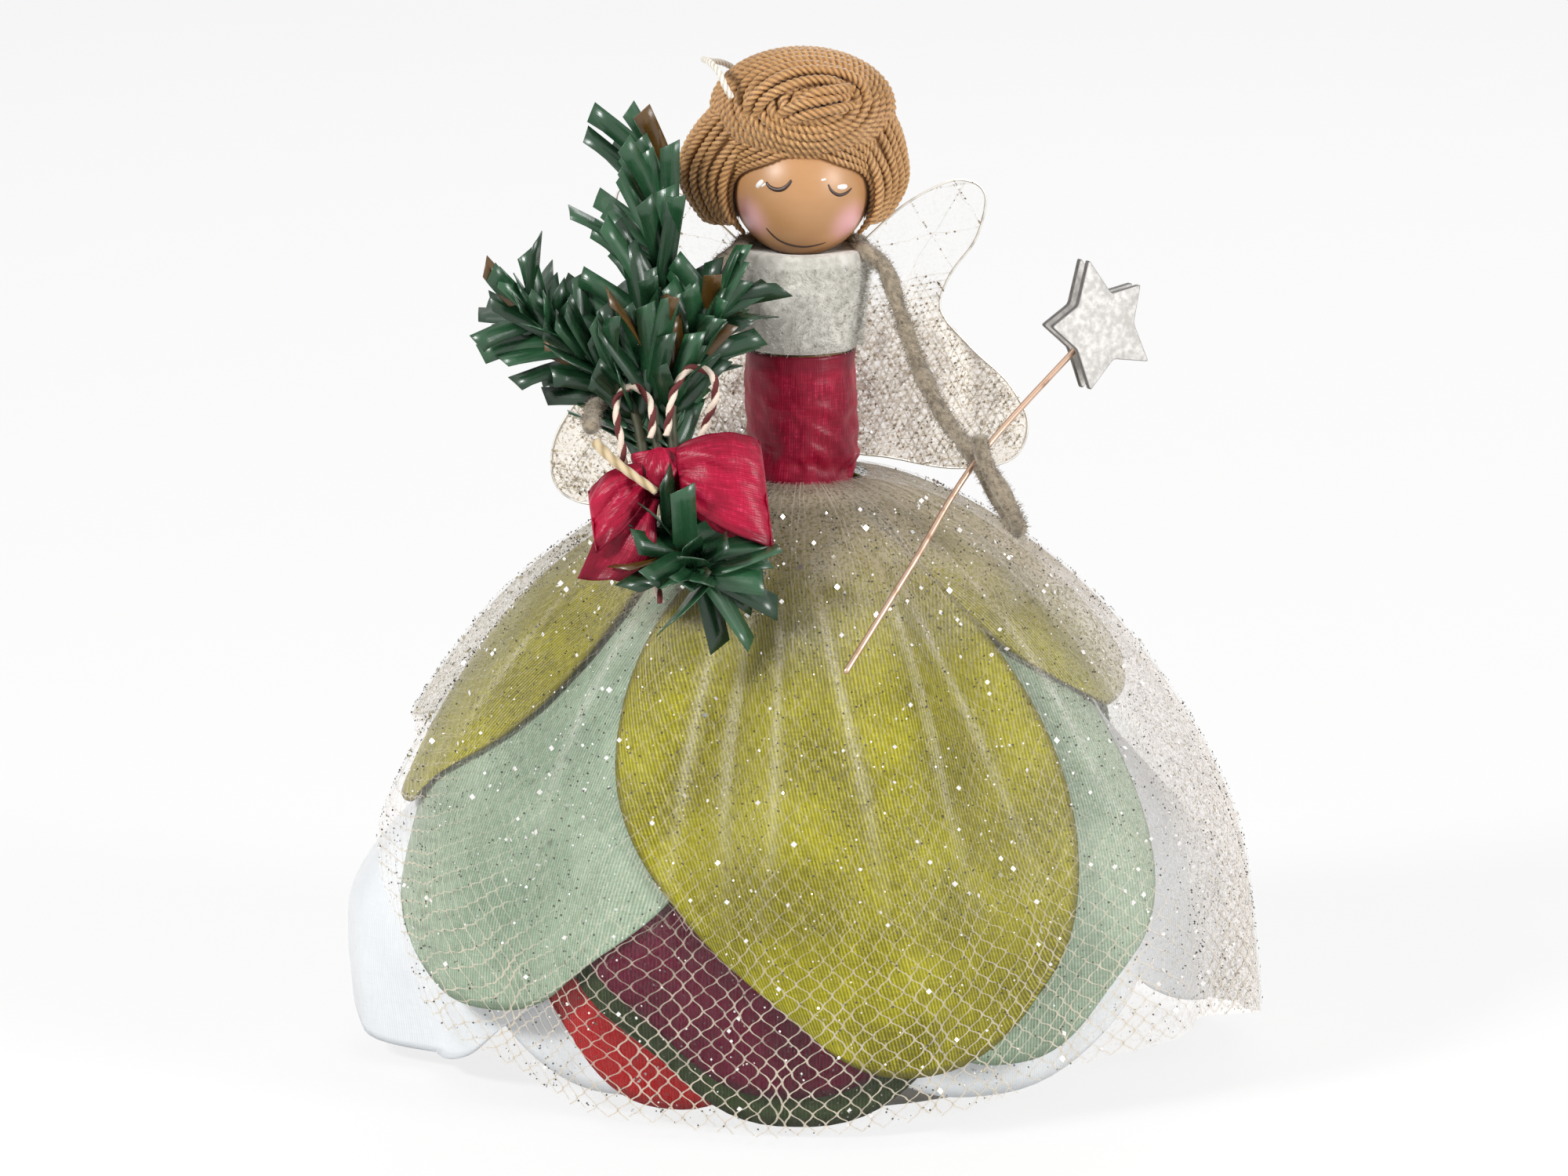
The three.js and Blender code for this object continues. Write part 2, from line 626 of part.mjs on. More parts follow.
function wandArm() {
  const behind = point(-0.35, 0.93, 0.1).multiplyScalar(GRIP_REACH).add(GRIP);
  const before = point(0.4, -0.9, -0.1).multiplyScalar(GRIP_REACH).add(GRIP);
  const path = [
    ...armStart(1),
    point(armClear + 2.2, -7.4, -7.8),
    point(17, -11, -16),
    point(20.6, -15.4, -22.4),
    behind,
    point(27.4, -21.4, -31.4),
    point(29.6, -22.6, -35.4),
    point(31, -24.4, -36.8),
    point(30.6, -26, -35),
    point(28.8, -26, -31.4),
    before,
    point(25.2, -26, -22.8),
  ];
  piece("wand_arm", tube(path, CHENILLE_DIAMETER, 7, 30), CHENILLE, bust);
}

function starLayer() {
  const corner = (index) => {
    const angle = Math.PI / 2 + (index * Math.PI) / STAR_POINTS;
    const radius = index % 2 ? STAR_NOTCH_RADIUS : STAR_RADIUS;
    return new THREE.Vector2(radius * Math.cos(angle), radius * Math.sin(angle));
  };
  const shape = new THREE.Shape();
  for (let index = 0; index < 2 * STAR_POINTS; index += 2) {
    const tip = corner(index);
    const before = tip.clone().lerp(corner(index - 1), STAR_TIP_ROUND);
    const after = tip.clone().lerp(corner(index + 1), STAR_TIP_ROUND);
    const notch = corner(index + 1);
    if (index) shape.lineTo(before.x, before.y);
    else shape.moveTo(before.x, before.y);
    shape.quadraticCurveTo(tip.x, tip.y, after.x, after.y);
    shape.lineTo(notch.x, notch.y);
  }
  const settings = { depth: STAR_THICKNESS, bevelEnabled: false, curveSegments: 4 };
  return closed(new THREE.ExtrudeGeometry(shape, settings));
}

function wand() {
  const route = [WAND_FOOT, WAND_FOOT.clone().lerp(GRIP, 0.5), GRIP, STAR_CENTRE];
  piece("wand_wire", tube(route, WAND_WIRE_DIAMETER, 8, 22), COPPER, bust);
  const shaft = STAR_CENTRE.clone().sub(GRIP).normalize();
  const facing = point(0.42, -0.9, 0.1);
  facing.addScaledVector(shaft, -facing.dot(shaft)).normalize();
  const star = new THREE.Group();
  const basis = new THREE.Matrix4().makeBasis(shaft.clone().cross(facing), shaft, facing);
  star.quaternion.setFromRotationMatrix(basis);
  star.position.copy(STAR_CENTRE);
  const lift = WAND_WIRE_DIAMETER / 2 + SEAT_GAP;
  piece("wand_star_front", starLayer(), SILVER_FELT, star).position.z = lift;
  piece("wand_star_back", starLayer(), SILVER_FELT, star).position.z = -lift - STAR_THICKNESS;
  bust.add(star);
}

// Wings: the outline is drawn in the wing's own plane, with X away from the spine.

const WING_OUTLINE = [
  [0, -7],
  [6.5, -2.2],
  [14.5, 4.2],
  [22, 7],
  [25.6, 5.2],
  [24.6, -1.4],
  [20.4, -7.2],
  [19, -11.8],
  [23.6, -17.8],
  [29.6, -23.8],
  [32.4, -29.8],
  [30, -33.8],
  [22, -32.4],
  [12, -27],
  [3.4, -20.4],
  [0, -14.8],
];

function wings() {
  const rootShare = (shoulderZ + WING_OUTLINE[0][1] - bodiceBottom) / BODICE_HEIGHT;
  const backRadius = mix(pegWaist, pegShoulder, rootShare) + SEAT_GAP + FELT_THICKNESS;
  const rootY = Math.sqrt((backRadius + SEAT_GAP + WING_WIRE_DIAMETER / 2) ** 2 - WING_ROOT_X ** 2);
  const outline = new THREE.CatmullRomCurve3(WING_OUTLINE.map(([x, z]) => point(x, 0, z)), true);
  const inset = WING_WIRE_DIAMETER / 2 + SEAT_GAP;
  const edge = Array.from({ length: WING_STEPS }, (_, i) => {
    const spot = outline.getPointAt(i / WING_STEPS);
    const slope = outline.getTangentAt(i / WING_STEPS);
    return new THREE.Vector2(spot.x + slope.z * inset, spot.z - slope.x * inset);
  });
  for (const [name, side] of [["right", 1], ["left", -1]]) {
    const wing = new THREE.Group();
    wing.position.set(side * WING_ROOT_X, rootY, 0);
    wing.rotation.z = side * radians(WING_SWEEP);
    wing.scale.x = side;
    const wire = new THREE.TubeGeometry(outline, WING_STEPS, WING_WIRE_DIAMETER / 2, 5, true);
    piece(`wing_wire_${name}`, closed(wire), GLITTER_WIRE, wing);
    const settings = { depth: WING_NET_THICKNESS, bevelEnabled: false };
    const net = new THREE.ExtrudeGeometry(new THREE.Shape(edge), settings);
    net.rotateX(Math.PI / 2).translate(0, WING_NET_THICKNESS / 2, 0);
    piece(`wing_net_${name}`, closed(net), NET, wing);
    bust.add(wing);
  }
}

// Posy, built upright round its own stems with X to the right and Y to the back, then leaned into the arm

const POSY_PLACE = point(-20, -27, -28.4);
const posy = new THREE.Group();
posy.position.copy(POSY_PLACE);
posy.rotation.set(-radians(POSY_LEAN_BACK), -radians(POSY_LEAN_SIDE), 0);
bust.add(posy);

// A strip needle from a stem: two bent lengths of flat tape.
function needle(root, direction, flat, length) {
  const bend = direction.clone().addScaledVector(flat, 0.35).normalize();
  const side = direction.clone().cross(flat).normalize().multiplyScalar(NEEDLE_WIDTH / 2);
  const middle = root.clone().addScaledVector(direction, length * 0.5);
  const stations = [root, middle, middle.clone().addScaledVector(bend, length * 0.5)];
  const face = (offset) => (u, v) =>
    stations[Math.round(v * 2)].clone().addScaledVector(side, 2 * u - 1).addScaledVector(flat, offset);
  return sheet(face(NEEDLE_THICKNESS / 2), face(-NEEDLE_THICKNESS / 2), 1, 2);
}

// A sprig: a wire stem with needles in a spiral, except where the posy is bound.
function sprig(name, route, needles, needleLength, keep) {
  const path = new THREE.CatmullRomCurve3(route.map((p) => point(...p)));
  const parts = [tube(path.points, STEM_DIAMETER, 6, 12)];
  for (let i = 0; i < needles; i++) {
    const share = (i + 0.5) / needles;
    const root = path.getPointAt(share);
    const along = path.getTangentAt(share);
    const turn = i * 2.4 + scatter(i);
    const aside = point(Math.cos(turn), Math.sin(turn), 0);
    aside.addScaledVector(along, -aside.dot(along)).normalize();
    const spread = radians(NEEDLE_SPREAD + 14 * (scatter(i + 40) - 0.5));
    const [lean, open] = [Math.cos(spread), Math.sin(spread)];
    const direction = along.clone().multiplyScalar(lean).addScaledVector(aside, open);
    const flat = aside.clone().multiplyScalar(lean).addScaledVector(along, -open);
    const length = needleLength * (0.85 + 0.3 * scatter(i + 90));
    if (keep(root, direction)) parts.push(needle(root, direction, flat, length));
  }
  piece(name, joined(parts), PINE, posy);
}

const STEM_PITCH = STEM_DIAMETER + SEAT_GAP;
const BARE_STEM = 13;

function sprigs() {
  const tall = [[0, 0, -7], [0, 0, 3], [0, 0, 16], [2, 1.5, 30], [4, 3, 42]];
  const beside = STEM_PITCH;
  const left = [[-beside, 0, -7], [-beside, 0, 3], [-beside - 1, 0, 11], [-9, -1, 19], [-16, -2, 25]];
  const right = [[beside, 0, -7], [beside, 0, 3], [beside + 1, -0.5, 11], [8, -1, 19], [10.5, -1, 24]];
  const foot = [[0.5, -0.2, -7.6], [1.5, -1.5, -11], [3.5, -4.2, -14.5], [5, -6.4, -17]];
  const above = (root) => root.z > BARE_STEM;
  const clearOfHair = (root, way) => way.x < 0.15 && way.x + way.y < 0.45;
  const forward = (root, way) => root.z < -9 && way.y < 0 && way.x > -0.3;
  sprig("pine_sprig_tall", tall, 30, NEEDLE_LENGTH, (root, way) => above(root) && clearOfHair(root, way));
  sprig("pine_sprig_left", left, 20, NEEDLE_LENGTH, (root, way) => above(root) && way.x < 0.3);
  sprig("pine_sprig_right", right, 20, NEEDLE_LENGTH, (root, way) => above(root) && way.x > -0.1);
  sprig("pine_sprig_foot", foot, 9, FOOT_NEEDLE_LENGTH, forward);
}

const BAND_X = STEM_PITCH + STEM_DIAMETER / 2 + SEAT_GAP;
const BAND_Y = STEM_DIAMETER / 2 + SEAT_GAP;

// A ribbon loop that leaves the knot, swells to its full width and comes back.
function ribbonLoop(name, side, { reach, fall, drop, swell, width }) {
  const opening = 0.09 * 2 * Math.PI;
  const lip = (swell * Math.sin(opening) - RIBBON_THICKNESS) / KNOT_DEPTH;
  const seat = KNOT_WIDTH * Math.sqrt(1 - lip * lip) + SEAT_GAP - (reach * (1 - Math.cos(opening))) / 2;
  const face = (inset) => (u, v) => {
    const turn = mix(opening, 2 * Math.PI - opening, v);
    const normal = new THREE.Vector2(-Math.cos(turn) * swell, (Math.sin(turn) * reach) / 2).normalize();
    const out = (1 - Math.cos(turn)) / 2 - (inset * normal.x) / reach;
    const depth = -swell * Math.sin(turn) + inset * normal.y;
    const across = (2 * u - 1) * mix(PINCH_WIDTH / 2, width / 2, Math.sin(turn / 2));
    return point(side * (seat + reach * out), knotY + depth, across - drop - fall * out);
  };
  piece(name, sheet(face(0), face(RIBBON_THICKNESS), 4, 14), SATIN, posy);
}

const knotY = -(BAND_Y + RIBBON_THICKNESS + SEAT_GAP + KNOT_DEPTH);

function bow() {
  const wall = (spare) => (u, v) => {
    const turn = u * 2 * Math.PI;
    const [x, y] = [(BAND_X + spare) * Math.sin(turn), -(BAND_Y + spare) * Math.cos(turn)];
    return point(x, y, BAND_HEIGHT * (0.5 - v));
  };
  piece("bow_band", sheet(wall(RIBBON_THICKNESS), wall(0), 16, 2, true), SATIN, posy);
  const knot = new THREE.SphereGeometry(1, 12, 8).scale(KNOT_WIDTH, KNOT_DEPTH, KNOT_HEIGHT);
  piece("bow_knot", closed(knot.translate(0, knotY, 0)), SATIN, posy);
  ribbonLoop("bow_loop_right", 1, { reach: 13, fall: 4.5, drop: 1, swell: 3, width: RIBBON_WIDTH });
  ribbonLoop("bow_loop_left", -1, { reach: 8.5, fall: 5, drop: 1.5, swell: 2.4, width: LEFT_LOOP_WIDTH });

  const tail = (offset) => (u, v) => {
    const across = (2 * u - 1) * mix(PINCH_WIDTH / 2, TAIL_WIDTH / 2, Math.min(1, 2 * v));
    const curl = TAIL_CURL * Math.sin(v * Math.PI * 1.4);
    const out = KNOT_WIDTH * 0.8 + TAIL_RUN * v;
    const down = KNOT_HEIGHT + TAIL_GAP + TAIL_DROP * v;
    return point(across * 0.8 - out, knotY + TAIL_SEAT - curl + offset, across * 0.6 - down);
  };
  piece("bow_tail", sheet(tail(0), tail(RIBBON_THICKNESS), 3, 8), SATIN, posy);
}

const TWINE_LEFT_ROUTE = [
  [-0.9, -2, 5],
  [-0.3, -2.5, 7.6],
  [-0.4, -2.7, 10.4],
  [-2.4, -2.5, 12.8],
  [-4.8, -2.2, 11.6],
  [-5.3, -1.8, 8.2],
  [-5, -1.3, 4.5],
  [-5.2, -0.6, 0],
  [-5, 0, -6],
  [-4, -0.6, -11],
  [-2.8, -1.6, -15.5],
  [-2.2, -2.2, -19],
];
const TWINE_RIGHT_ROUTE = [
  [1.4, -2.2, 5],
  [2.2, -3, 8],
  [3.4, -3.8, 11.4],
  [6, -4.4, 14],
  [8.8, -4.4, 12.8],
  [9, -3, 9.9],
  [7.6, -1.2, 7.2],
  [6, -0.1, 3.8],
  [5.2, 0.1, -2],
  [5, 0.1, -8],
  [5.2, -0.3, -11],
];

function twine() {
  for (const [name, route] of [["twine_left", TWINE_LEFT_ROUTE], ["twine_right", TWINE_RIGHT_ROUTE]])
    piece(name, tube(route.map((p) => point(...p)), TWINE_DIAMETER, 6, 24), TWINE, posy);
}

function posyArm() {
  const path = [
    ...armStart(-1),
    point(-armClear - 2.6, -8.8, -9),
    point(-17.4, -13.6, -15.4),
    point(-21.4, -17.6, -17.8),
    point(-26.2, -19.4, -18.4),
    point(-29.6, -23.2, -19.4),
    point(-30, -28, -21.6),
  ];
  piece("posy_arm", tube(path, CHENILLE_DIAMETER, 7, 24), CHENILLE, bust);
  const tip = [point(-29.4, -30.6, -22.8), point(-26.6, -33.4, -25), point(-20.4, -35.4, -29.2)];
  piece("posy_hand", tube(tip, HAND_TIP_DIAMETER, 8, 6), CREAM, bust);
}

skirtCone();
torso();
sash();
petals();
netOverskirt();
head();
hair();
topKnot();
hangerLoop();
shoulderStem();
wandArm();
wand();
wings();
sprigs();
bow();
twine();
posyArm();

export default ornament;
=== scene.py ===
"""Fairy ornament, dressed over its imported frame.

The frame gives every piece its place. Lengths are in metres, +Z is up and the face looks along -Y.
"""

import json
import logging
import random
from bisect import bisect_left
from collections.abc import Callable, Sequence
from dataclasses import dataclass
from enum import Enum
from math import asin, atan2, ceil, copysign, cos, degrees, exp, floor, hypot, pi, radians, sin, sqrt

import bmesh
import bpy
from mathutils import Euler, Matrix, Vector, noise
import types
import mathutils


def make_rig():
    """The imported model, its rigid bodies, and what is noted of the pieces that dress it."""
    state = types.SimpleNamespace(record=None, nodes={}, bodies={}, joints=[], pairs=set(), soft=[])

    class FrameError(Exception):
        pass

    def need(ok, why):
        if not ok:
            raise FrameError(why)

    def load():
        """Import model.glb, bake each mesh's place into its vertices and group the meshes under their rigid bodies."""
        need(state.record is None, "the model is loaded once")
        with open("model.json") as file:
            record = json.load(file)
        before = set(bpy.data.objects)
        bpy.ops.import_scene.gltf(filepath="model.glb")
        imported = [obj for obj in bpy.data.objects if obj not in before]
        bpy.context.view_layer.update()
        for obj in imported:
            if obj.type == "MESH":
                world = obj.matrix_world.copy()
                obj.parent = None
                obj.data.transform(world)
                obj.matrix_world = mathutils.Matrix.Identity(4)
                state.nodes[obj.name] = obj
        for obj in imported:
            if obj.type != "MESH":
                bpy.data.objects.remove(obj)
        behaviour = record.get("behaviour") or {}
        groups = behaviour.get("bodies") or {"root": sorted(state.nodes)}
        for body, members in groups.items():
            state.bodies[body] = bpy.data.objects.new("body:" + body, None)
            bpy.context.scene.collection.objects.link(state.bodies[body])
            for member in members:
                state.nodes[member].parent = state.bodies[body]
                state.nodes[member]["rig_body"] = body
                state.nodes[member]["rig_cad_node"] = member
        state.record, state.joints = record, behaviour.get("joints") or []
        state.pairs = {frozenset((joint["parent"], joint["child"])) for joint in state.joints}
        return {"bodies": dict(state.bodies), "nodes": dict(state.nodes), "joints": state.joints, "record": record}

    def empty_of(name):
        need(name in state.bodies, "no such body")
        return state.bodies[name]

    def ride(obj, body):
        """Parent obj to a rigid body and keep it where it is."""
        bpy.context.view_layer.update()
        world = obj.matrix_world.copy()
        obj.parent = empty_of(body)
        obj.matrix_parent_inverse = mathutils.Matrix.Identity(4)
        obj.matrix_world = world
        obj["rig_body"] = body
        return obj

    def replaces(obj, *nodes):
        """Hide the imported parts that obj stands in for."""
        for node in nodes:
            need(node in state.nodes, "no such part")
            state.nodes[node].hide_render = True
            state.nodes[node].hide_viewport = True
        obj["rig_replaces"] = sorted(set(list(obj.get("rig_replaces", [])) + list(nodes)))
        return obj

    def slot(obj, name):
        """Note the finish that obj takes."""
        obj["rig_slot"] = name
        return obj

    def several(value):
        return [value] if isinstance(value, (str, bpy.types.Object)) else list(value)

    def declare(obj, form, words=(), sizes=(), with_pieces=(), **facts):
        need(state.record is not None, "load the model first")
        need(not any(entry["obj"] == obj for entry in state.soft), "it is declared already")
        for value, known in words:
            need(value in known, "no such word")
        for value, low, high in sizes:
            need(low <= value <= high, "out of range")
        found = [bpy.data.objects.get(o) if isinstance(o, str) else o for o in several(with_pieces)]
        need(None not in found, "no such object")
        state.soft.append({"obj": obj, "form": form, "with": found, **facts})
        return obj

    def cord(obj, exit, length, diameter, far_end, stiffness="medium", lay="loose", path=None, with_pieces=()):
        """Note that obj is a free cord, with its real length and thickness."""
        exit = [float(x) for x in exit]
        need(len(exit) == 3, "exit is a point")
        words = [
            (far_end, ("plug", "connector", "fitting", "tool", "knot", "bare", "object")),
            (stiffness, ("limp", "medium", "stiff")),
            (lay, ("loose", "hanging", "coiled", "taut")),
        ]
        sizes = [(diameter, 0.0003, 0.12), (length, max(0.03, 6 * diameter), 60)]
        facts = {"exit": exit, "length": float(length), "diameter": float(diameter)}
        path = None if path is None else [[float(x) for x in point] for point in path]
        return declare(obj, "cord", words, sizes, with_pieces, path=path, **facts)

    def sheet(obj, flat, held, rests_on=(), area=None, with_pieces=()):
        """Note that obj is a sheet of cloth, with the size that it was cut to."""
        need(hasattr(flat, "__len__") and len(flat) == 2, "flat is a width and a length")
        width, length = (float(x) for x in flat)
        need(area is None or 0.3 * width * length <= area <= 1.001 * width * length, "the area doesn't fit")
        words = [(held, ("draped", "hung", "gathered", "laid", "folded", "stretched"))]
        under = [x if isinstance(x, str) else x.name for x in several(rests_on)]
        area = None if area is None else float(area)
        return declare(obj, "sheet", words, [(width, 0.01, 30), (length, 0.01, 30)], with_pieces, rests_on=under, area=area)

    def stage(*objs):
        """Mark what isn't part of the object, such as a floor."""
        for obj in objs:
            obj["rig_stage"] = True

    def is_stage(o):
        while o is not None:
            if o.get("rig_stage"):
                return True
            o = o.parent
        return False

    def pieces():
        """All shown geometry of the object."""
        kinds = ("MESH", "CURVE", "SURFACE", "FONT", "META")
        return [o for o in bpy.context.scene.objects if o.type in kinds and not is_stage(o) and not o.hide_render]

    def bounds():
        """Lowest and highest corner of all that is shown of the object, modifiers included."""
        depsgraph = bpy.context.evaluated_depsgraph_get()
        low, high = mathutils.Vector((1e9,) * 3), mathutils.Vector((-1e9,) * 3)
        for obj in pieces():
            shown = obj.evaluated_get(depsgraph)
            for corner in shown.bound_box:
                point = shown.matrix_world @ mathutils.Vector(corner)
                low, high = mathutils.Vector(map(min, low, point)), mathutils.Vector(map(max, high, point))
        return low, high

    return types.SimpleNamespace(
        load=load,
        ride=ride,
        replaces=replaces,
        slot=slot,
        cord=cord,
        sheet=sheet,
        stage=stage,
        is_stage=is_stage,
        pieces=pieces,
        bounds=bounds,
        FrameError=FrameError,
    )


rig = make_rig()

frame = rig.load()

LOG = logging.getLogger("fairy_ornament")
MM = 0.001
Colour = tuple[float, float, float, float]
Surface = Callable[[float, float], Vector]
SLOT_OF = {part["node"]: part["material_slot"] for part in frame["record"]["subparts"]}
BODY_OF = {
    node: body for body, nodes in frame["record"]["behaviour"]["bodies"].items() for node in nodes
}


def tint(code: str) -> Colour:
    """The linear colour of a six-digit sRGB code.

    Args:
        code: Six hexadecimal digits.

    Returns:
        Red, green, blue and an alpha of 1.
    """
    parts = [int(code[i : i + 2], 16) / 255 for i in (0, 2, 4)]
    linear = [c / 12.92 if c <= 0.04045 else ((c + 0.055) / 1.055) ** 2.4 for c in parts]
    return (linear[0], linear[1], linear[2], 1.0)


def tints(codes: str) -> list[Colour]:
    """The linear colours of sRGB codes that stand in a row."""
    return [tint(code) for code in codes.split()]


def mix(low: float, high: float, share: float) -> float:
    """The number a share of the way from low to high."""
    return low + (high - low) * share


def smooth(value: float, low: float, high: float) -> float:
    """0 below low, 1 above high, and an even curve between."""
    share = min(1.0, max(0.0, (value - low) / (high - low)))
    return share * share * (3 - 2 * share)


def near(angle: float, place: float, spread: float) -> float:
    """How near an angle is to a place, from 0 to 1, all in degrees."""
    away = ((angle - place + 180) % 360 - 180) / spread
    return exp(-away * away)


def scatter(index: float) -> float:
    """A repeatable spread of numbers from 0 to 1."""
    return sin(index * 12.9898) * 43758.5453 % 1


def any_way(chance: random.Random) -> Vector:
    """A way at random, with each part from -1 to 1."""
    return Vector([chance.uniform(-1, 1) for _ in range(3)])


def round_noise(scale: float, angle: float, height: float) -> float:
    """Noise that closes on itself round the ornament, from an angle in radians and a height."""
    return noise.noise(Vector((scale * sin(angle), scale * cos(angle), height)))


class Shade:
    """A shader socket that Python's operators combine into Math nodes."""

    def __init__(self, recipe: "Recipe", socket: bpy.types.NodeSocket | None) -> None:
        """Keeps the socket and the recipe that it belongs to."""
        self.recipe = recipe
        self.socket = socket

    def maths(self, operation: str, *values: "Shade | float") -> "Shade":
        """The result of one Math node, from its operation and its values in order."""
        return self.recipe.node("Math", {"operation": operation}, dict(enumerate(values)))

    def __add__(self, other: "Shade | float") -> "Shade":
        """Sum."""
        return self.maths("ADD", self, other)

    def __radd__(self, other: float) -> "Shade":
        """Sum with a number first."""
        return self.maths("ADD", other, self)

    def __sub__(self, other: "Shade | float") -> "Shade":
        """Difference."""
        return self.maths("SUBTRACT", self, other)

    def __rsub__(self, other: float) -> "Shade":
        """Difference with a number first."""
        return self.maths("SUBTRACT", other, self)

    def __mul__(self, other: "Shade | float") -> "Shade":
        """Product."""
        return self.maths("MULTIPLY", self, other)

    def __rmul__(self, other: float) -> "Shade":
        """Product with a number first."""
        return self.maths("MULTIPLY", other, self)

    def __pow__(self, other: float) -> "Shade":
        """Power."""
        return self.maths("POWER", self, other)

    def sine(self) -> "Shade":
        """Sine, moved to lie from 0 to 1."""
        return self.maths("SINE", self) * 0.5 + 0.5

    def between(self, low: float, high: float) -> "Shade":
        """0 below low, 1 above high, and an even curve between."""
        settings = {"interpolation_type": "SMOOTHSTEP"}
        return self.recipe.node("MapRange", settings, {0: self, 1: low, 2: high})


class Recipe:
    """One node tree of a material or a world, and the only place where nodes are made."""

    def __init__(self, owner: bpy.types.Material | bpy.types.World) -> None:
        """Empties the owner's tree."""
        self.owner = owner
        owner.use_nodes = True
        self.tree = owner.node_tree
        self.tree.nodes.clear()

    def node(
        self,
        kind: str,
        settings: dict | None = None,
        sockets: dict | None = None,
        output: int | str = 0,
    ) -> Shade:
        """Adds one node.

        Args:
            kind: The node's type, without its first word.
            settings: The node's own settings, which are set first.
            sockets: Values or links for its inputs, by name or number.
            output: The output that is wanted.

        Returns:
            That output.
        """
        made = self.tree.nodes.new(f"ShaderNode{kind}")
        for name, value in (settings or {}).items():
            setattr(made, name, value)
        for name, value in (sockets or {}).items():
            if isinstance(value, Shade):
                self.tree.links.new(value.socket, made.inputs[name])
            else:
                made.inputs[name].default_value = value
        return Shade(self, made.outputs[output] if made.outputs else None)

    def place(self) -> Shade:
        """Object coordinates, in metres."""
        return self.node("TexCoord", output="Object")

    def parts(self, vector: Shade, *axes: int) -> list[Shade]:
        """The parts of a vector along some of its axes."""
        return [self.node("SeparateXYZ", None, {0: vector}, axis) for axis in axes]

    def cloth(self) -> list[Shade]:
        """The place across and along the cloth, in metres."""
        return self.parts(self.node("TexCoord", output="UV"), 0, 1)

    def tone(self) -> Shade:
        """The piece's own tone, from 0 to 1, as its maker set it."""
        return self.node("Attribute", {"attribute_name": "tone"}, None, "Fac")

    def grain(self, scale: float, detail: float = 3.0, vector: Shade | None = None) -> Shade:
        """Noise from 0 to 1, with its waves to a metre and the vector that it is read from."""
        sockets = {"Vector": vector or self.place(), "Scale": scale, "Detail": detail}
        return self.node("TexNoise", None, sockets, "Fac")

    def slubs(self, across: Shade, along: Shade, stretch: tuple[float, float]) -> Shade:
        """Noise drawn out along a cloth's threads, with its waves to a metre each way."""
        sockets = {0: across * stretch[0], 1: along * stretch[1]}
        return self.grain(1.0, 2.0, self.node("CombineXYZ", None, sockets))

    def blend(self, share: Shade | float, low: Shade | Colour, high: Shade | Colour) -> Shade:
        """The colour a share of the way from low to high."""
        return self.node("Mix", {"data_type": "RGBA"}, {0: share, 6: low, 7: high}, 2)

    def bump(self, height: Shade, depth: float, strength: float = 1.0) -> Shade:
        """A normal from a height of 0 to 1, where 1 stands for a depth in metres."""
        sockets = {"Height": height, "Distance": depth, "Strength": strength}
        return self.node("Bump", None, sockets)

    def surface(self, **sockets: "Shade | float | Colour") -> None:
        """Ends the tree in one Principled shader; a socket's name has _ for each space."""
        named = {name.replace("_", " "): value for name, value in sockets.items()}
        self.node("OutputMaterial", None, {"Surface": self.node("BsdfPrincipled", None, named)})

    def seen(self) -> Shade:
        """1 for what the camera sees, by itself or in metal and glass, and 0 for other light."""
        kinds = ("Camera", "Glossy", "Transmission")
        rays = [self.node("LightPath", output=f"Is {kind} Ray") for kind in kinds]
        return rays[0].maths("MAXIMUM", rays[0], rays[1].maths("MAXIMUM", rays[1], rays[2]))


@dataclass(frozen=True)
class Finish:
    """A surface finish, which becomes one material."""

    name: str

    def dress(self, recipe: Recipe) -> None:
        """Adds the finish's nodes to a recipe."""
        raise NotImplementedError

    def material(self) -> bpy.types.Material:
        """The finish's material, made the first time that it is asked for."""
        title = f"{self.name}_finish"
        made = bpy.data.materials.get(title)
        if made is None:
            made = bpy.data.materials.new(title)
            self.dress(Recipe(made))
        return made


@dataclass(frozen=True)
class Silk(Finish):
    """Satin-woven cloth: ribs and slubs with a painted glint, cloudy colour, a darker edge and painted shade in the
    fold valleys.
    """

    colour: Colour
    shade: Colour
    glint: Colour
    roughness: float = 0.42
    twill: float = 0.5 * MM
    sheen: float = 0.15
    depth: float = 0.14 * MM
    grain: float = 0.6
    rib: float = 0.3
    shine: float = 0.14

    def dress(self, recipe: Recipe) -> None:
        """Adds the cloth's weave with its painted glint, slubs, the darker edge and the painted shade in the valleys.
        """
        across, along = recipe.cloth()
        rib = (across * (2 * pi / self.twill)).sine()
        slub = recipe.slubs(across, along, (2100.0, 420.0))
        weft = recipe.slubs(across, along, (500.0, 3400.0))
        cloud = recipe.grain(80.0, 2.0).between(0.32, 0.68)
        weave = rib * self.rib + slub * (0.65 - self.rib) + weft * 0.35
        base = recipe.blend(cloud * 0.45 + weave.between(0.3, 0.66) * 0.55, self.shade, self.colour)
        # Painted glint: the high threads of the weave take the lighter glint colour.
        base = recipe.blend(weave.between(0.55, 0.8) * self.grain, base, self.glint)
        edge = 1 - recipe.tone().between(0.05, 0.22)
        # Painted shade: where the tone is lower in the fold valleys, the colour goes towards the shade colour.
        painted_valley_shade = 1 - recipe.tone().between(0.45, 0.95)
        base = recipe.blend(edge * 0.7 + painted_valley_shade * 0.75, base, self.shade)
        recipe.surface(
            Base_Color=base,
            Roughness=weave * 0.3 + (self.roughness - 0.15),
            Normal=recipe.bump(weave, self.depth, 0.9),
            Sheen_Weight=self.sheen,
            Sheen_Roughness=0.35,
            Sheen_Tint=self.glint,
            Specular_IOR_Level=self.shine,
        )


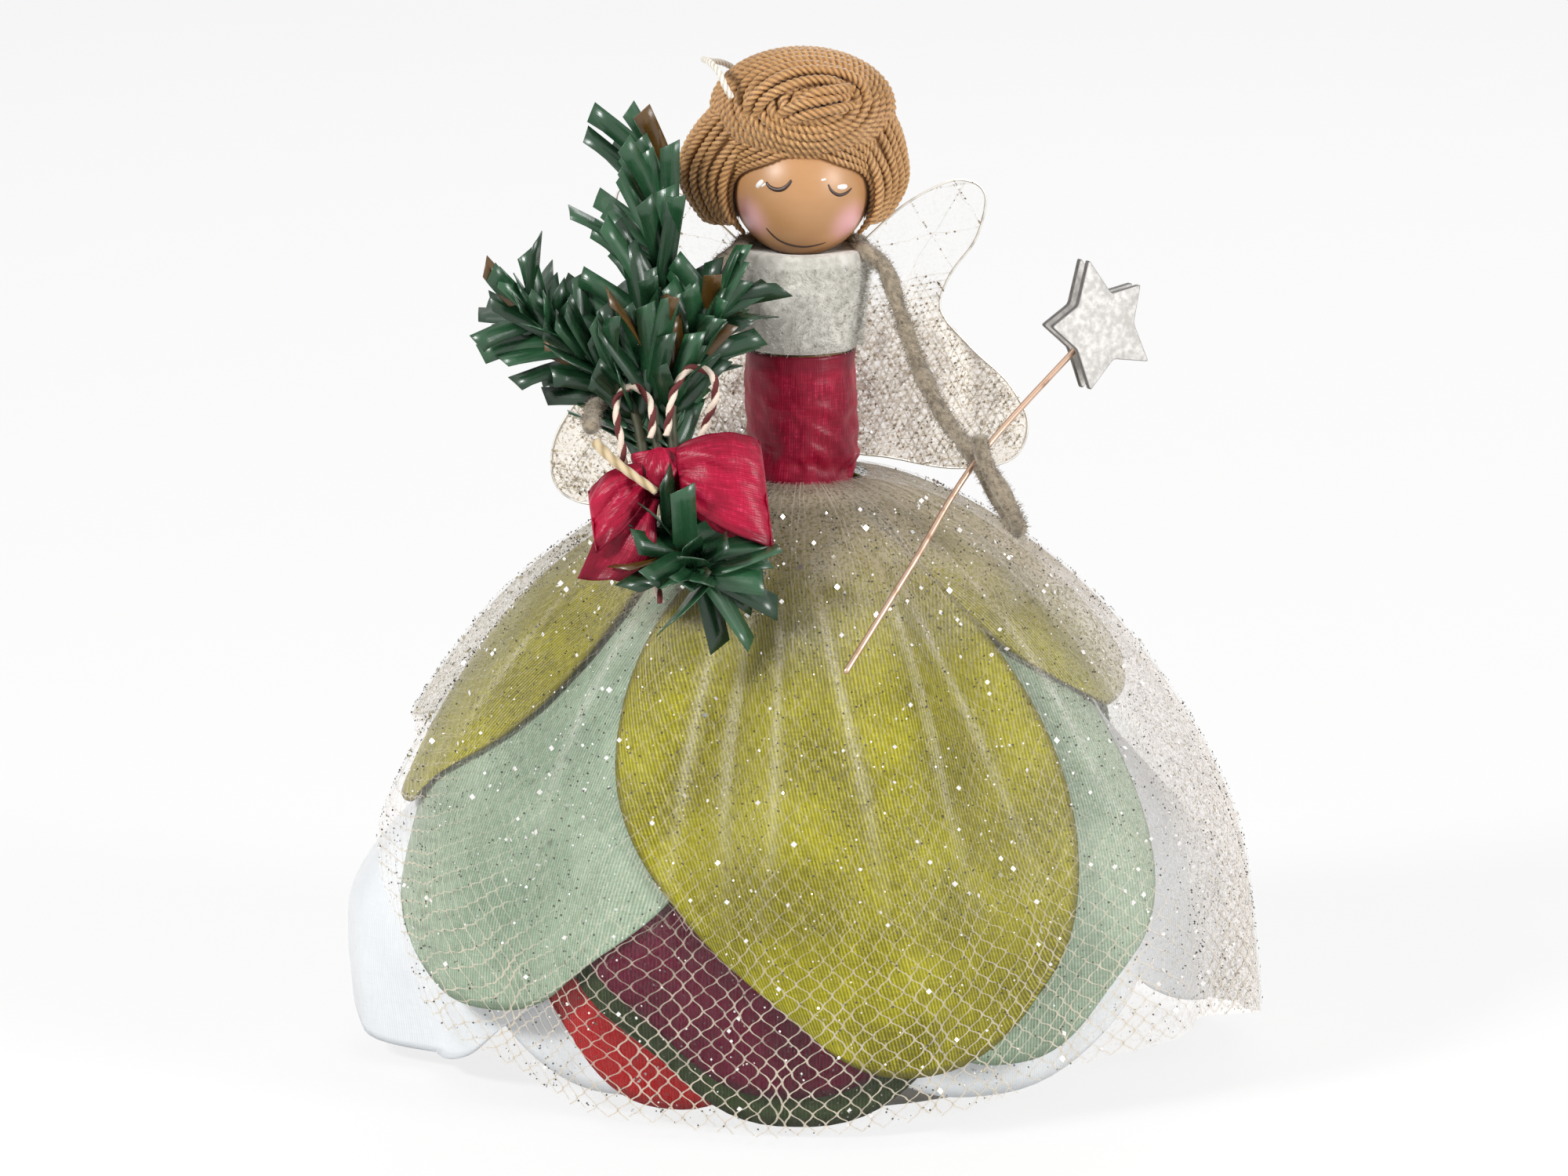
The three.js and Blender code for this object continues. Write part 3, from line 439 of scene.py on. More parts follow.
@dataclass(frozen=True)
class Wool(Finish):
    """Matted wool: mottled colour and a soft rough surface."""

    colour: Colour
    shade: Colour
    scale: float = 900.0

    def dress(self, recipe: Recipe) -> None:
        """Adds the wool's mottling and nap."""
        mottle = recipe.grain(self.scale, 4.0)
        nap = recipe.grain(self.scale * 6, 3.0)
        patch = recipe.grain(self.scale * 0.25, 2.0)
        share = mottle.between(0.32, 0.66) * 0.6 + patch.between(0.35, 0.65) * 0.4
        recipe.surface(
            Base_Color=recipe.blend(share, self.shade, self.colour),
            Roughness=nap * 0.1 + 0.88,
            Normal=recipe.bump(nap * 0.5 + mottle, 0.25 * MM, 0.9),
            Sheen_Weight=0.4,
            Sheen_Roughness=0.6,
            Specular_IOR_Level=0.2,
        )


@dataclass(frozen=True)
class Thread(Finish):
    """Twisted thread: painted highlight on its plies and painted shade in the grooves between them; on twine the
    groove colour is its second ply's own colour.
    """

    colour: Colour
    # Painted shade in the grooves; on twine, the maroon ply's own colour.
    groove: Colour
    glint: Colour
    roughness: float = 0.5

    def dress(self, recipe: Recipe) -> None:
        """Adds the tone from ply to groove as painted shade (two ply colours on twine), a painted highlight and fine
        fibres.
        """
        across, along = recipe.cloth()
        fibre = recipe.slubs(across, along, (900.0, 9000.0))
        cloud = recipe.grain(160.0, 2.0).between(0.3, 0.7)
        # Painted shade: a low tone in the grooves takes the groove colour; on twine the tone picks each ply's own
        # colour.
        base = recipe.blend(recipe.tone(), self.groove, self.colour)
        # Painted highlight on the ply crowns, in the glint colour.
        lit = recipe.tone() * fibre.between(0.45, 0.75) * cloud
        recipe.surface(
            Base_Color=recipe.blend(lit * 0.7, base, self.glint),
            Roughness=fibre * 0.2 + (self.roughness - 0.1),
            Normal=recipe.bump(fibre, 0.03 * MM, 0.6),
            Sheen_Weight=0.3,
            Sheen_Roughness=0.4,
            Specular_IOR_Level=0.4,
        )


@dataclass(frozen=True)
class Wire(Finish):
    """Bare drawn wire with a little tarnish."""

    colour: Colour
    tarnish: Colour
    roughness: float = 0.32

    def dress(self, recipe: Recipe) -> None:
        """Adds tarnish and drawing marks."""
        dull = recipe.grain(500.0, 3.0).between(0.45, 0.75)
        marks = recipe.grain(4000.0, 2.0)
        recipe.surface(
            Base_Color=recipe.blend(dull * 0.7, self.colour, self.tarnish),
            Roughness=dull * 0.25 + self.roughness,
            Metallic=1.0,
            Normal=recipe.bump(marks, 0.01 * MM, 0.4),
        )


@dataclass(frozen=True)
class PineStrip(Finish):
    """Cut plastic strip, where tone runs from dark green to a paler green and then to brown."""

    deep: Colour
    pale: Colour
    brown: Colour

    def dress(self, recipe: Recipe) -> None:
        """Adds each strip's own tone, drawn lines along it and scuffs."""
        tone = recipe.tone()
        across, along = recipe.cloth()
        lines = recipe.slubs(across, along, (5200.0, 60.0))
        scuff = recipe.grain(700.0, 3.0).between(0.5, 0.8)
        green = recipe.blend(tone.between(0.0, 0.8) * 0.7 + lines * 0.3, self.deep, self.pale)
        recipe.surface(
            Base_Color=recipe.blend(tone.between(0.9, 0.95), green, self.brown),
            Roughness=scuff * 0.2 + lines * 0.15 + 0.2,
            Normal=recipe.bump(lines + scuff * 0.3, 0.06 * MM, 0.6),
            Coat_Weight=0.25,
            Coat_Roughness=0.3,
        )


@dataclass(frozen=True)
class SkinPaint(Finish):
    """Satin paint on a wooden bead, with two soft pink cheeks."""

    colour: Colour
    shade: Colour
    blush: Colour
    cheeks: tuple[Vector, ...]
    reach: float

    def dress(self, recipe: Recipe) -> None:
        """Adds brush marks, the faint grain under them and the cheeks."""
        place = recipe.place()
        grain = recipe.slubs(*recipe.parts(place, 0, 2), (260.0, 900.0))
        cloud = recipe.grain(130.0, 3.0)
        base = recipe.blend(cloud * 0.6 + grain * 0.4, self.shade, self.colour)
        for cheek in self.cheeks:
            sockets = {0: place, 1: cheek}
            away = recipe.node("VectorMath", {"operation": "DISTANCE"}, sockets, "Value")
            pink = 1 - away.between(0.1 * self.reach, self.reach)
            base = recipe.blend(pink * 0.9, base, self.blush)
        recipe.surface(
            Base_Color=base,
            Roughness=grain * 0.12 + 0.36,
            Normal=recipe.bump(grain * 0.6 + cloud * 0.4, 0.03 * MM, 0.35),
            Coat_Weight=0.15,
            Coat_Roughness=0.35,
        )


@dataclass(frozen=True)
class Paint(Finish):
    """A brush stroke, thicker and thinner along its way."""

    colour: Colour
    thin: Colour
    roughness: float = 0.3

    def dress(self, recipe: Recipe) -> None:
        """Adds the stroke's streaks."""
        streak = recipe.grain(2500.0, 2.0)
        recipe.surface(
            Base_Color=recipe.blend(streak * 0.6, self.colour, self.thin),
            Roughness=streak * 0.2 + self.roughness,
            Normal=recipe.bump(streak, 0.02 * MM, 0.4),
        )


@dataclass(frozen=True)
class Tulle(Finish):
    """Net thread with the glue and dust of glitter on it."""

    colour: Colour
    dust: Colour
    cover: float

    def dress(self, recipe: Recipe) -> None:
        """Adds thread colour, specks of dust, a rough surface and how much of it shows."""
        speck = recipe.grain(3200.0, 1.0).between(0.62, 0.7)
        cloud = recipe.grain(220.0, 2.0)
        recipe.surface(
            Base_Color=recipe.blend(speck * cloud, self.colour, self.dust),
            Roughness=cloud * 0.2 + 0.45,
            Normal=recipe.bump(speck, 0.03 * MM, 0.5),
            Alpha=(cloud.between(0.2, 0.7) * 0.5 + (self.cover - 0.25)) * recipe.tone(),
            Sheen_Weight=0.3,
        )


@dataclass(frozen=True)
class Haze(Finish):
    """The threads of a net that are too fine to see one by one, as a thin see-through film."""

    colour: Colour
    warm: Colour
    speck: Colour
    cover: float
    waist: float = 1.0

    def dress(self, recipe: Recipe) -> None:
        """Adds the film's cover, thicker where tone says, and its specks."""
        dust = recipe.grain(1900.0, 1.0)
        (height,) = recipe.parts(recipe.place(), 2)
        cloud = recipe.grain(150.0, 2.0) * 0.5 + height.between(self.waist - 0.03, self.waist) * 0.5
        cover = recipe.tone() * (dust.between(0.3, 0.62) * 0.7 + 0.5) * self.cover
        base = recipe.blend(cloud.between(0.2, 0.75), self.colour, self.warm)
        recipe.surface(
            Base_Color=recipe.blend(dust.between(0.6, 0.66), base, self.speck),
            Roughness=cloud * 0.2 + 0.6,
            Normal=recipe.bump(dust, 0.015 * MM, 0.3),
            Alpha=cover,
        )


@dataclass(frozen=True)
class Glitter(Finish):
    """Metal flakes, where tone runs from dark to bright."""

    bright: Colour
    dark: Colour

    def dress(self, recipe: Recipe) -> None:
        """Adds each flake's own tone and a fine brushed surface."""
        tone = recipe.tone()
        fine = recipe.grain(5000.0, 1.0)
        recipe.surface(
            Base_Color=recipe.blend(tone.between(0.35, 0.6), self.dark, self.bright),
            Roughness=fine * 0.1 + (0.42 - 0.25 * tone),
            Metallic=tone.between(0.2, 0.5) * 0.8,
            Normal=recipe.bump(fine, 0.01 * MM, 0.3),
        )


@dataclass(frozen=True)
class Plain(Finish):
    """Card or bare wood: two tones along a grain."""

    colour: Colour
    shade: Colour
    grain: tuple[float, float]
    roughness: float = 0.8

    def dress(self, recipe: Recipe) -> None:
        """Adds the grain, which runs up the piece."""
        streak = recipe.slubs(*recipe.parts(recipe.place(), 0, 2), self.grain)
        fleck = recipe.grain(1500.0, 3.0)
        recipe.surface(
            Base_Color=recipe.blend(streak * 0.7 + fleck * 0.3, self.shade, self.colour),
            Roughness=fleck * 0.1 + self.roughness,
            Normal=recipe.bump(streak + fleck * 0.5, 0.06 * MM, 0.4),
        )


@dataclass(frozen=True)
class StarFelt(Finish):
    """Stiff pale felt, silvered with fine glitter and dark round its cut edge."""

    colour: Colour
    shade: Colour
    edge: Colour

    def dress(self, recipe: Recipe) -> None:
        """Adds the felt's mottling, glitter specks and dark edge."""
        mottle = recipe.grain(1100.0, 4.0)
        speck = recipe.grain(6000.0, 1.0).between(0.66, 0.72)
        base = recipe.blend(mottle.between(0.35, 0.7), self.shade, self.colour)
        rim = recipe.tone() * (mottle * 0.5 + 0.7)
        recipe.surface(
            Base_Color=recipe.blend(rim, base, self.edge),
            Roughness=0.75 - 0.4 * speck,
            Metallic=speck * 0.7,
            Normal=recipe.bump(mottle + speck * 0.5, 0.08 * MM, 0.6),
            Sheen_Weight=0.2,
        )


CHEEKS = (Vector((-7.4, -5.6, 124.3)) * MM, Vector((7.0, -6.0, 123.7)) * MM)


class Tint(Enum):
    """The ornament's finishes, by what they are on."""

    # Silk tints: colour, shade (cloudy tone, darker edges and painted shade in the valleys) and glint (painted glint
    # on the weave, and the sheen tint).
    CHARTREUSE = Silk("chartreuse_silk", *tints("a49e14 5c5606 d4cd42"))
    MINT = Silk("mint_silk", *tints("a3b49d 71866f cfdcc8"))
    CRIMSON = Silk("crimson_silk", *tints("5e0527 360314 78103a"))
    GREEN = Silk("green_silk", *tints("334321 202a13 505e3a"))
    RED = Silk("red_silk", *tints("ad060e 82050b c01a1a"))
    WHITE = Silk(
        "white_silk", *tints("e4e6e8 d2d6da f0f0ee"),
        roughness=0.34, twill=0.3 * MM, sheen=0.2, depth=0.03 * MM, grain=0.3, shine=0.3,
    )
    RIBBON = Silk(
        "crimson_satin", *tints("b4143b 740b24 d84a74"),
        roughness=0.36, twill=0.34 * MM, sheen=0.2, depth=0.1 * MM, grain=0.8, rib=0.12, shine=0.24,
    )
    FELT = Wool("grey_felt", *tints("d8d5cd aeaba2"))
    CHENILLE = Wool("chenille", *tints("a3957f 6d6252"), 1400.0)
    # Thread tints: colour, groove (painted shade in the grooves; twine's maroon ply) and glint (painted highlight on
    # the plies).
    FLOSS = Thread("floss", *tints("c2935d 6a4322 ecca97"))
    WHITE_CORD = Thread("white_cord", *tints("f0ebe0 b9ad9a fdfaf4"), 0.7)
    CREAM_CORD = Thread("cream_cord", *tints("cdb996 9a845e e2d4b8"), 0.6)
    TWINE = Thread("twine", *tints("e4d2c0 5a1c1c f3e7d8"), 0.7)
    COPPER = Wire("copper_wire", *tints("cfb09a 7d5c48"))
    SILVER = Wire("wing_wire", *tints("f0ece4 7c756a"))
    STEEL = Wire("steel_wire", *tints("9b9b9b 6f6f6f"))
    STEM = Paint("posy_stem", *tints("2b3320 4d4526"), 0.5)
    PINE = PineStrip("pine_strip", *tints("0f2a17 2b5738 543b17"))
    SKIN = SkinPaint("bead_wood", *tints("bb8d61 ab7d51 dba3a6"), CHEEKS, 4.6 * MM)
    INK = Paint("face_ink", *tints("2a1a14 4a3022"))
    # Painted highlights on the eyes.
    EYE_WHITE = Paint("eye_highlight", *tints("f6f4f1 d9d4cf"))
    TULLE = Tulle("glitter_net", *tints("cbc0ae 958a79"), 0.64)
    WING_TULLE = Tulle("wing_net", *tints("e2d9cb a3957d"), 0.8)
    HAZE = Haze("net_haze", *tints("fbf4ef b3a690 a0937e"), 0.9, 85 * MM)
    WING_HAZE = Haze("wing_haze", *tints("f6f0e7 ece3d7 c2b49e"), 0.95)
    FLAKES = Glitter("glitter_flakes", *tints("f4f1ee 3b3630"))
    WING_FLAKES = Glitter("wing_flakes", *tints("f8f5f2 a3947c"))
    STAR = StarFelt("silver_felt", *tints("d9d6d2 b8b5b1 4a4846"))
    CARD = Plain("card", *tints("f0ece3 dcd6c9"), (300.0, 900.0))
    PEG = Plain("peg_wood", *tints("d3ad78 b2884f"), (1400.0, 90.0), 0.6)


class Piece:
    """A mesh in the making, which becomes one piece of the ornament."""

    def __init__(self, name: str) -> None:
        """Starts an empty mesh with a cloth map and a tone for each point."""
        self.name = name
        self.bm = bmesh.new()
        self.map = self.bm.loops.layers.uv.new("UVMap")
        self.tone = self.bm.verts.layers.float.new("tone")

    def lay(
        self,
        columns: int,
        rows: int,
        place: Surface,
        flat: Callable[[float, float], tuple[float, float]] | None = None,
        tone: Callable[[float, float], float] | None = None,
        weld: bool = False,
    ) -> list[bmesh.types.BMVert]:
        """Lays a grid over a surface.

        Args:
            columns: Faces across.
            rows: Faces along.
            place: The surface, from shares across and along.
            flat: The place on the flat cloth, for its map.
            tone: The tone at each place.
            weld: Whether edges that meet are joined.

        Returns:
            The grid's points.
        """
        grid = {"x_segments": columns, "y_segments": rows, "size": 0.5}
        made = bmesh.ops.create_grid(self.bm, **grid)["verts"]
        for vert in made:
            u, v = vert.co.x + 0.5, vert.co.y + 0.5
            vert.co = place(u, v)
            vert[self.tone] = tone(u, v) if tone else 1.0
            for loop in vert.link_loops:
                loop[self.map].uv = flat(u, v) if flat else (u, v)
        if weld:
            bmesh.ops.remove_doubles(self.bm, verts=made, dist=0.0005 * MM)
        return made

    def strips(
        self,
        count: int,
        columns: int,
        rows: int,
        place: Callable[[int, float, float], Vector],
        span: tuple[float, float] = (1.0, 1.0),
        tone: Callable[[int, float], float] | None = None,
    ) -> None:
        """Cuts one long grid into separate strips and lays each of them.

        Args:
            count: How many strips there are.
            columns: Faces across each.
            rows: Faces along each.
            place: A strip's surface, from its number and shares across and along.
            span: A strip's size across and along, for its map.
            tone: The tone, from a strip's number and the share along it.
        """
        pitch = columns + 1
        across = count * pitch
        grid = {"x_segments": across, "y_segments": rows, "size": 0.5}
        made = bmesh.ops.create_grid(self.bm, **grid)["verts"]
        faces = {face for vert in made for face in vert.link_faces}
        spare = [f for f in faces if int((f.calc_center_median().x + 0.5) * across) % pitch == columns]
        bmesh.ops.delete(self.bm, geom=spare, context="FACES")
        for vert in made:
            if not vert.is_valid:
                continue
            column = round((vert.co.x + 0.5) * across)
            index, u, v = column // pitch, column % pitch / columns, vert.co.y + 0.5
            vert.co = place(index, u, v)
            vert[self.tone] = tone(index, v) if tone else 1.0
            for loop in vert.link_loops:
                loop[self.map].uv = (u * span[0], v * span[1])

    def done(
        self, finish: Tint, node: str, replaces: bool = True, outwards: bool = False
    ) -> bpy.types.Object:
        """Turns the mesh into a piece that rides with a node.

        Args:
            finish: Its finish.
            node: The CAD node that it belongs to.
            replaces: Whether it stands for that node.
            outwards: Whether its faces are turned to point out.

        Returns:
            The piece.
        """
        if outwards:
            bmesh.ops.recalc_face_normals(self.bm, faces=self.bm.faces)
        mesh = bpy.data.meshes.new(self.name)
        self.bm.to_mesh(mesh)
        self.bm.free()
        mesh.shade_smooth()
        mesh.materials.append(finish.value.material())
        piece = bpy.data.objects.new(self.name, mesh)
        bpy.context.scene.collection.objects.link(piece)
        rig.ride(piece, BODY_OF[node])
        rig.slot(piece, SLOT_OF[node])
        if replaces:
            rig.replaces(piece, node)
        LOG.info("%s: %d faces", self.name, len(mesh.polygons))
        return piece


def thicken(piece: bpy.types.Object, thickness: float) -> None:
    """Gives a sheet its thickness, half to each side."""
    wall = piece.modifiers.new("thickness", "SOLIDIFY")
    wall.thickness = thickness
    wall.offset = 0.0


def cloth_area(piece: bpy.types.Object) -> float:
    """The area of a sheet's own faces, in square metres."""
    return sum(face.area for face in piece.data.polygons)


def declare_sheet(
    piece: bpy.types.Object,
    flat: tuple[float, float],
    held: str,
    rests: Sequence[str],
    **more: list[bpy.types.Object],
) -> None:
    """Declares a sheet of cloth with what is on it and the area that its cut has."""
    area = min(cloth_area(piece), flat[0] * flat[1])
    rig.sheet(piece, flat=flat, held=held, rests_on=list(rests), area=area, **more)


def about(radius: float, angle: float, height: float) -> Vector:
    """The point at a radius from the ornament's axis, at an angle in radians from its front."""
    return Vector((radius * sin(angle), -radius * cos(angle), height))


def run_along(line: Sequence[Vector]) -> list[float]:
    """The distance along a line to each of its points.

    Args:
        line: The line's points.

    Returns:
        The distances, from 0.
    """
    run = [0.0]
    for before, after in zip(line, line[1:]):
        run.append(run[-1] + (after - before).length)
    return run


def spot_at(line: Sequence[Vector], run: Sequence[float], distance: float) -> tuple[int, Vector]:
    """The place at a distance along a line.

    Args:
        line: The line's points.
        run: The distance to each of them.
        distance: The distance along the line.

    Returns:
        The number of the next point, and the place.
    """
    i = min(max(bisect_left(run, distance), 1), len(line) - 1)
    gap = max(run[i] - run[i - 1], 1e-12)
    return i, line[i - 1].lerp(line[i], (distance - run[i - 1]) / gap)


class Route:
    """A smooth line through points, with frames along it that don't twist."""

    def __init__(self, points: Sequence[Vector], steps: int) -> None:
        """Draws the line.

        Args:
            points: The points that it goes through.
            steps: How many even steps it is cut into.
        """
        fine = self._drawn([Vector(p) for p in points], 24)
        run = run_along(fine)
        self.length = run[-1]
        self.steps = steps
        self.spots = [spot_at(fine, run, self.length * i / steps)[1] for i in range(steps + 1)]
        self.ahead = [
            (self.spots[min(i + 1, steps)] - self.spots[max(i - 1, 0)]).normalized() for i in range(steps + 1)
        ]
        aside = self.ahead[0].orthogonal().normalized()
        self.aside = []
        for way in self.ahead:
            aside = (aside - way * aside.dot(way)).normalized()
            self.aside.append(aside.copy())

    @staticmethod
    def _drawn(points: list[Vector], pieces: int) -> list[Vector]:
        """The centripetal spline through points.

        Args:
            points: The points.
            pieces: How many pieces each stretch is cut into.

        Returns:
            The points along it.
        """
        ends = [2 * points[0] - points[1], *points, 2 * points[-1] - points[-2]]
        line = [points[0].copy()]
        for a, b, c, d in zip(ends, ends[1:], ends[2:], ends[3:]):
            gaps = [max(sqrt((q - p).length), 1e-6) for p, q in ((a, b), (b, c), (c, d))]
            leave = ((b - a) / gaps[0] - (c - a) / (gaps[0] + gaps[1]) + (c - b) / gaps[1]) * gaps[1]
            enter = ((c - b) / gaps[1] - (d - b) / (gaps[1] + gaps[2]) + (d - c) / gaps[2]) * gaps[1]
            for i in range(1, pieces + 1):
                t = i / pieces
                cube = (2 * b - 2 * c + leave + enter) * t**3
                line.append(b + leave * t + (3 * c - 3 * b - 2 * leave - enter) * t**2 + cube)
        return line

    def frame(self, share: float) -> tuple[Vector, Vector, Vector]:
        """The spot, a way aside and a way across both, at a share of the line."""
        i = round(share * self.steps)
        return self.spots[i], self.aside[i], self.ahead[i].cross(self.aside[i])

    def ring(self, share: float, turn: float, radius: float) -> Vector:
        """The point at a radius from the line, turned round it."""
        spot, aside, up = self.frame(share)
        return spot + (aside * cos(turn) + up * sin(turn)) * radius


@dataclass(frozen=True)
class Ply:
    """How a thread is twisted: its plies, their pitch and the depth of the grooves between them."""

    count: int
    pitch: float
    groove: float

    def depth(self, turn: float, along: float) -> float:
        """How deep the groove is at a turn and a distance along the thread, from 0 to 1."""
        phase = self.count * (turn - 2 * pi * along / self.pitch)
        return (0.5 - 0.5 * cos(phase)) ** 2


def wind(
    piece: Piece,
    points: Sequence[Vector],
    radius: Callable[[float], float],
    ply: Ply | None = None,
    step: float = 0.2 * MM,
    sides: int = 10,
    tone: Callable[[float], float] | None = None,
) -> Route:
    """Winds a round or twisted thread along points, closed at both ends.

    Args:
        piece: The mesh that it goes into.
        points: The points that it goes through.
        radius: Its radius at each share of its length.
        ply: How it is twisted, if it is.
        step: The length of each ring.
        sides: Faces round it.
        tone: The tone of each ply, from its number; without it, tone is low in the grooves, for painted shade there.

    Returns:
        The line that it follows.
    """
    rough = Route(points, 8).length
    route = Route(points, max(6, ceil(rough / step)))
    ends = 1 / route.steps

    def place(u: float, v: float) -> Vector:
        """The thread's point, from shares along and round it."""
        turn = 2 * pi * v
        out = radius(u) * (0.0 if u < 0.5 * ends or u > 1 - 0.5 * ends else 1.0)
        if ply:
            out *= 1 - ply.groove * ply.depth(turn, u * route.length)
        return route.ring(u, turn, out)

    def shade(u: float, v: float) -> float:
        """The thread's tone there: the ply's own when tone is given, else lower in the grooves for painted shade."""
        turn = 2 * pi * v
        if not ply:
            return 1.0
        if tone:
            phase = (turn / (2 * pi) - u * route.length / ply.pitch) * ply.count + 0.5
            return tone(floor(phase) % ply.count)
        return 1 - ply.depth(turn, u * route.length)

    girth = 2 * pi * radius(0.5)
    piece.lay(route.steps, sides, place, lambda u, v: (v * girth, u * route.length), shade, weld=True)
    return route


FIBRE_WIDTH = 0.1 * MM


def fuzz(
    piece: Piece, count: int, root: Callable[[int], tuple[Vector, Vector]], length: float, seed: int
) -> None:
    """Covers a surface with short bent fibres.

    Args:
        piece: The mesh that they go into.
        count: How many fibres there are.
        root: Where each starts and the way out of the surface there.
        length: The longest fibre.
        seed: The seed of their spread.
    """
    chance = random.Random(seed)
    made = []
    for index in range(count):
        spot, out = root(index)
        lean = any_way(chance)
        way = (out + lean * 0.9).normalized()
        bend = (way + any_way(chance) * 0.8).normalized()
        made.append((spot, way, bend, way.orthogonal().normalized(), length * chance.uniform(0.35, 1)))

    def place(index: int, u: float, v: float) -> Vector:
        """A fibre's point, from its number and shares across and along."""
        spot, way, bend, side, reach = made[index]
        middle = spot + way * reach * 0.5
        at = spot.lerp(middle, v * 2) if v <= 0.5 else middle.lerp(middle + bend * reach * 0.5, v * 2 - 1)
        return at + side * (u - 0.5) * FIBRE_WIDTH * (1 - 0.8 * v)

    piece.strips(count, 1, 2, place)


def lay_flakes(piece: Piece, flakes: Sequence[tuple[Vector, Vector, float, float]]) -> None:
    """Lays square flakes of glitter.

    Args:
        piece: The mesh that they go into.
        flakes: The middle of each, the way that it faces, its size and its tone.
    """

    def place(index: int, u: float, v: float) -> Vector:
        """A flake's point, from its number and shares across and along."""
        spot, face, size, _ = flakes[index]
        side = face.orthogonal().normalized()
        return spot + side * (u - 0.5) * size + face.cross(side) * (v - 0.5) * size

    piece.strips(len(flakes), 1, 1, place, tone=lambda index, v: flakes[index][3])


# Each lamp's name, place in metres, size across and power in watts.
LAMPS = (
    ("key", (-0.74, -0.62, 0.7), 0.22, 11.0),
    ("fill", (1.0, -0.66, 0.5), 0.42, 12.0),
    ("back", (0.2, 0.8, 0.8), 0.7, 3.5),
)
FLOOR_GLOW = 0.82
SURROUND_LIGHT = 0.22
CAMERA_TILT = 12.0


@dataclass
class Studio:
    """The camera at the photograph's angle, a pale floor and soft lamps."""

    target: Vector
    distance: float
    elevation: float
    view_width: float

    def camera(self) -> None:
        """Sets the camera up."""
        data = bpy.data.cameras.new("camera")
        data.sensor_width = 36.0
        data.lens = data.sensor_width * self.distance / self.view_width
        data.clip_start = 0.01
        data.clip_end = 20.0
        camera = bpy.data.objects.new("camera", data)
        tilt = radians(self.elevation)
        camera.location = self.target + Vector((0, -cos(tilt), sin(tilt))) * self.distance
        camera.rotation_euler = (pi / 2 - tilt, 0, 0)
        bpy.context.scene.collection.objects.link(camera)
        bpy.context.scene.camera = camera

    def floor(self) -> None:
        """Lays a pale floor that shows the ornament's shadow softly."""
        bm = bmesh.new()
        bmesh.ops.create_grid(bm, x_segments=2, y_segments=2, size=4.0)
        mesh = bpy.data.meshes.new("floor")
        bm.to_mesh(mesh)
        bm.free()
        recipe = Recipe(bpy.data.materials.new("floor"))
        matt = recipe.node("BsdfDiffuse", None, {"Color": tint("f4f4f3")})
        glow = recipe.node("Emission", None, {"Color": tint("ffffff"), "Strength": 1.0})
        shader = recipe.node("MixShader", None, {0: recipe.seen() * FLOOR_GLOW, 1: matt, 2: glow})
        recipe.node("OutputMaterial", None, {"Surface": shader})
        mesh.materials.append(recipe.owner)
        ground = bpy.data.objects.new("floor", mesh)
        bpy.context.scene.collection.objects.link(ground)
        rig.stage(ground)

    def lights(self) -> None:
        """Sets the lamps and a white surround."""
        for name, place, size, power in LAMPS:
            data = bpy.data.lights.new(name, "AREA")
            data.size = size
            data.energy = power
            lamp = bpy.data.objects.new(name, data)
            lamp.location = place
            lamp.rotation_euler = (self.target - Vector(place)).to_track_quat("-Z", "Y").to_euler()
            bpy.context.scene.collection.objects.link(lamp)
        surround = Recipe(bpy.data.worlds.new("surround"))
        strength = surround.seen() * (1 - SURROUND_LIGHT) + SURROUND_LIGHT
        sockets = {"Color": tint("ffffff"), "Strength": strength}
        surround.node("OutputWorld", None, {"Surface": surround.node("Background", None, sockets)})
        bpy.context.scene.world = surround.owner
        bpy.context.scene.view_settings.view_transform = "Standard"


def in_mm(points: Sequence[Sequence[float]], base: Vector, turn: Matrix | None = None) -> list[Vector]:
    """Points given in millimetres from a base, turned if they are to be, in metres."""
    made = [Vector(p) * MM for p in points]
    return [base + (turn @ p if turn else p) for p in made]


HEAD = Vector((0, 0, 128.05)) * MM
SHOULDER = Vector((0, 0, 119.35)) * MM
POSY_PLACE = SHOULDER + Vector((-20, -27, -28.4)) * MM
POSY_TURN = Euler((radians(-24), radians(-7), 0), "ZYX").to_matrix()
# Where the hand grips the wand, in millimetres from the shoulders.
GRIP = (25.2, -22.8, -26.8)


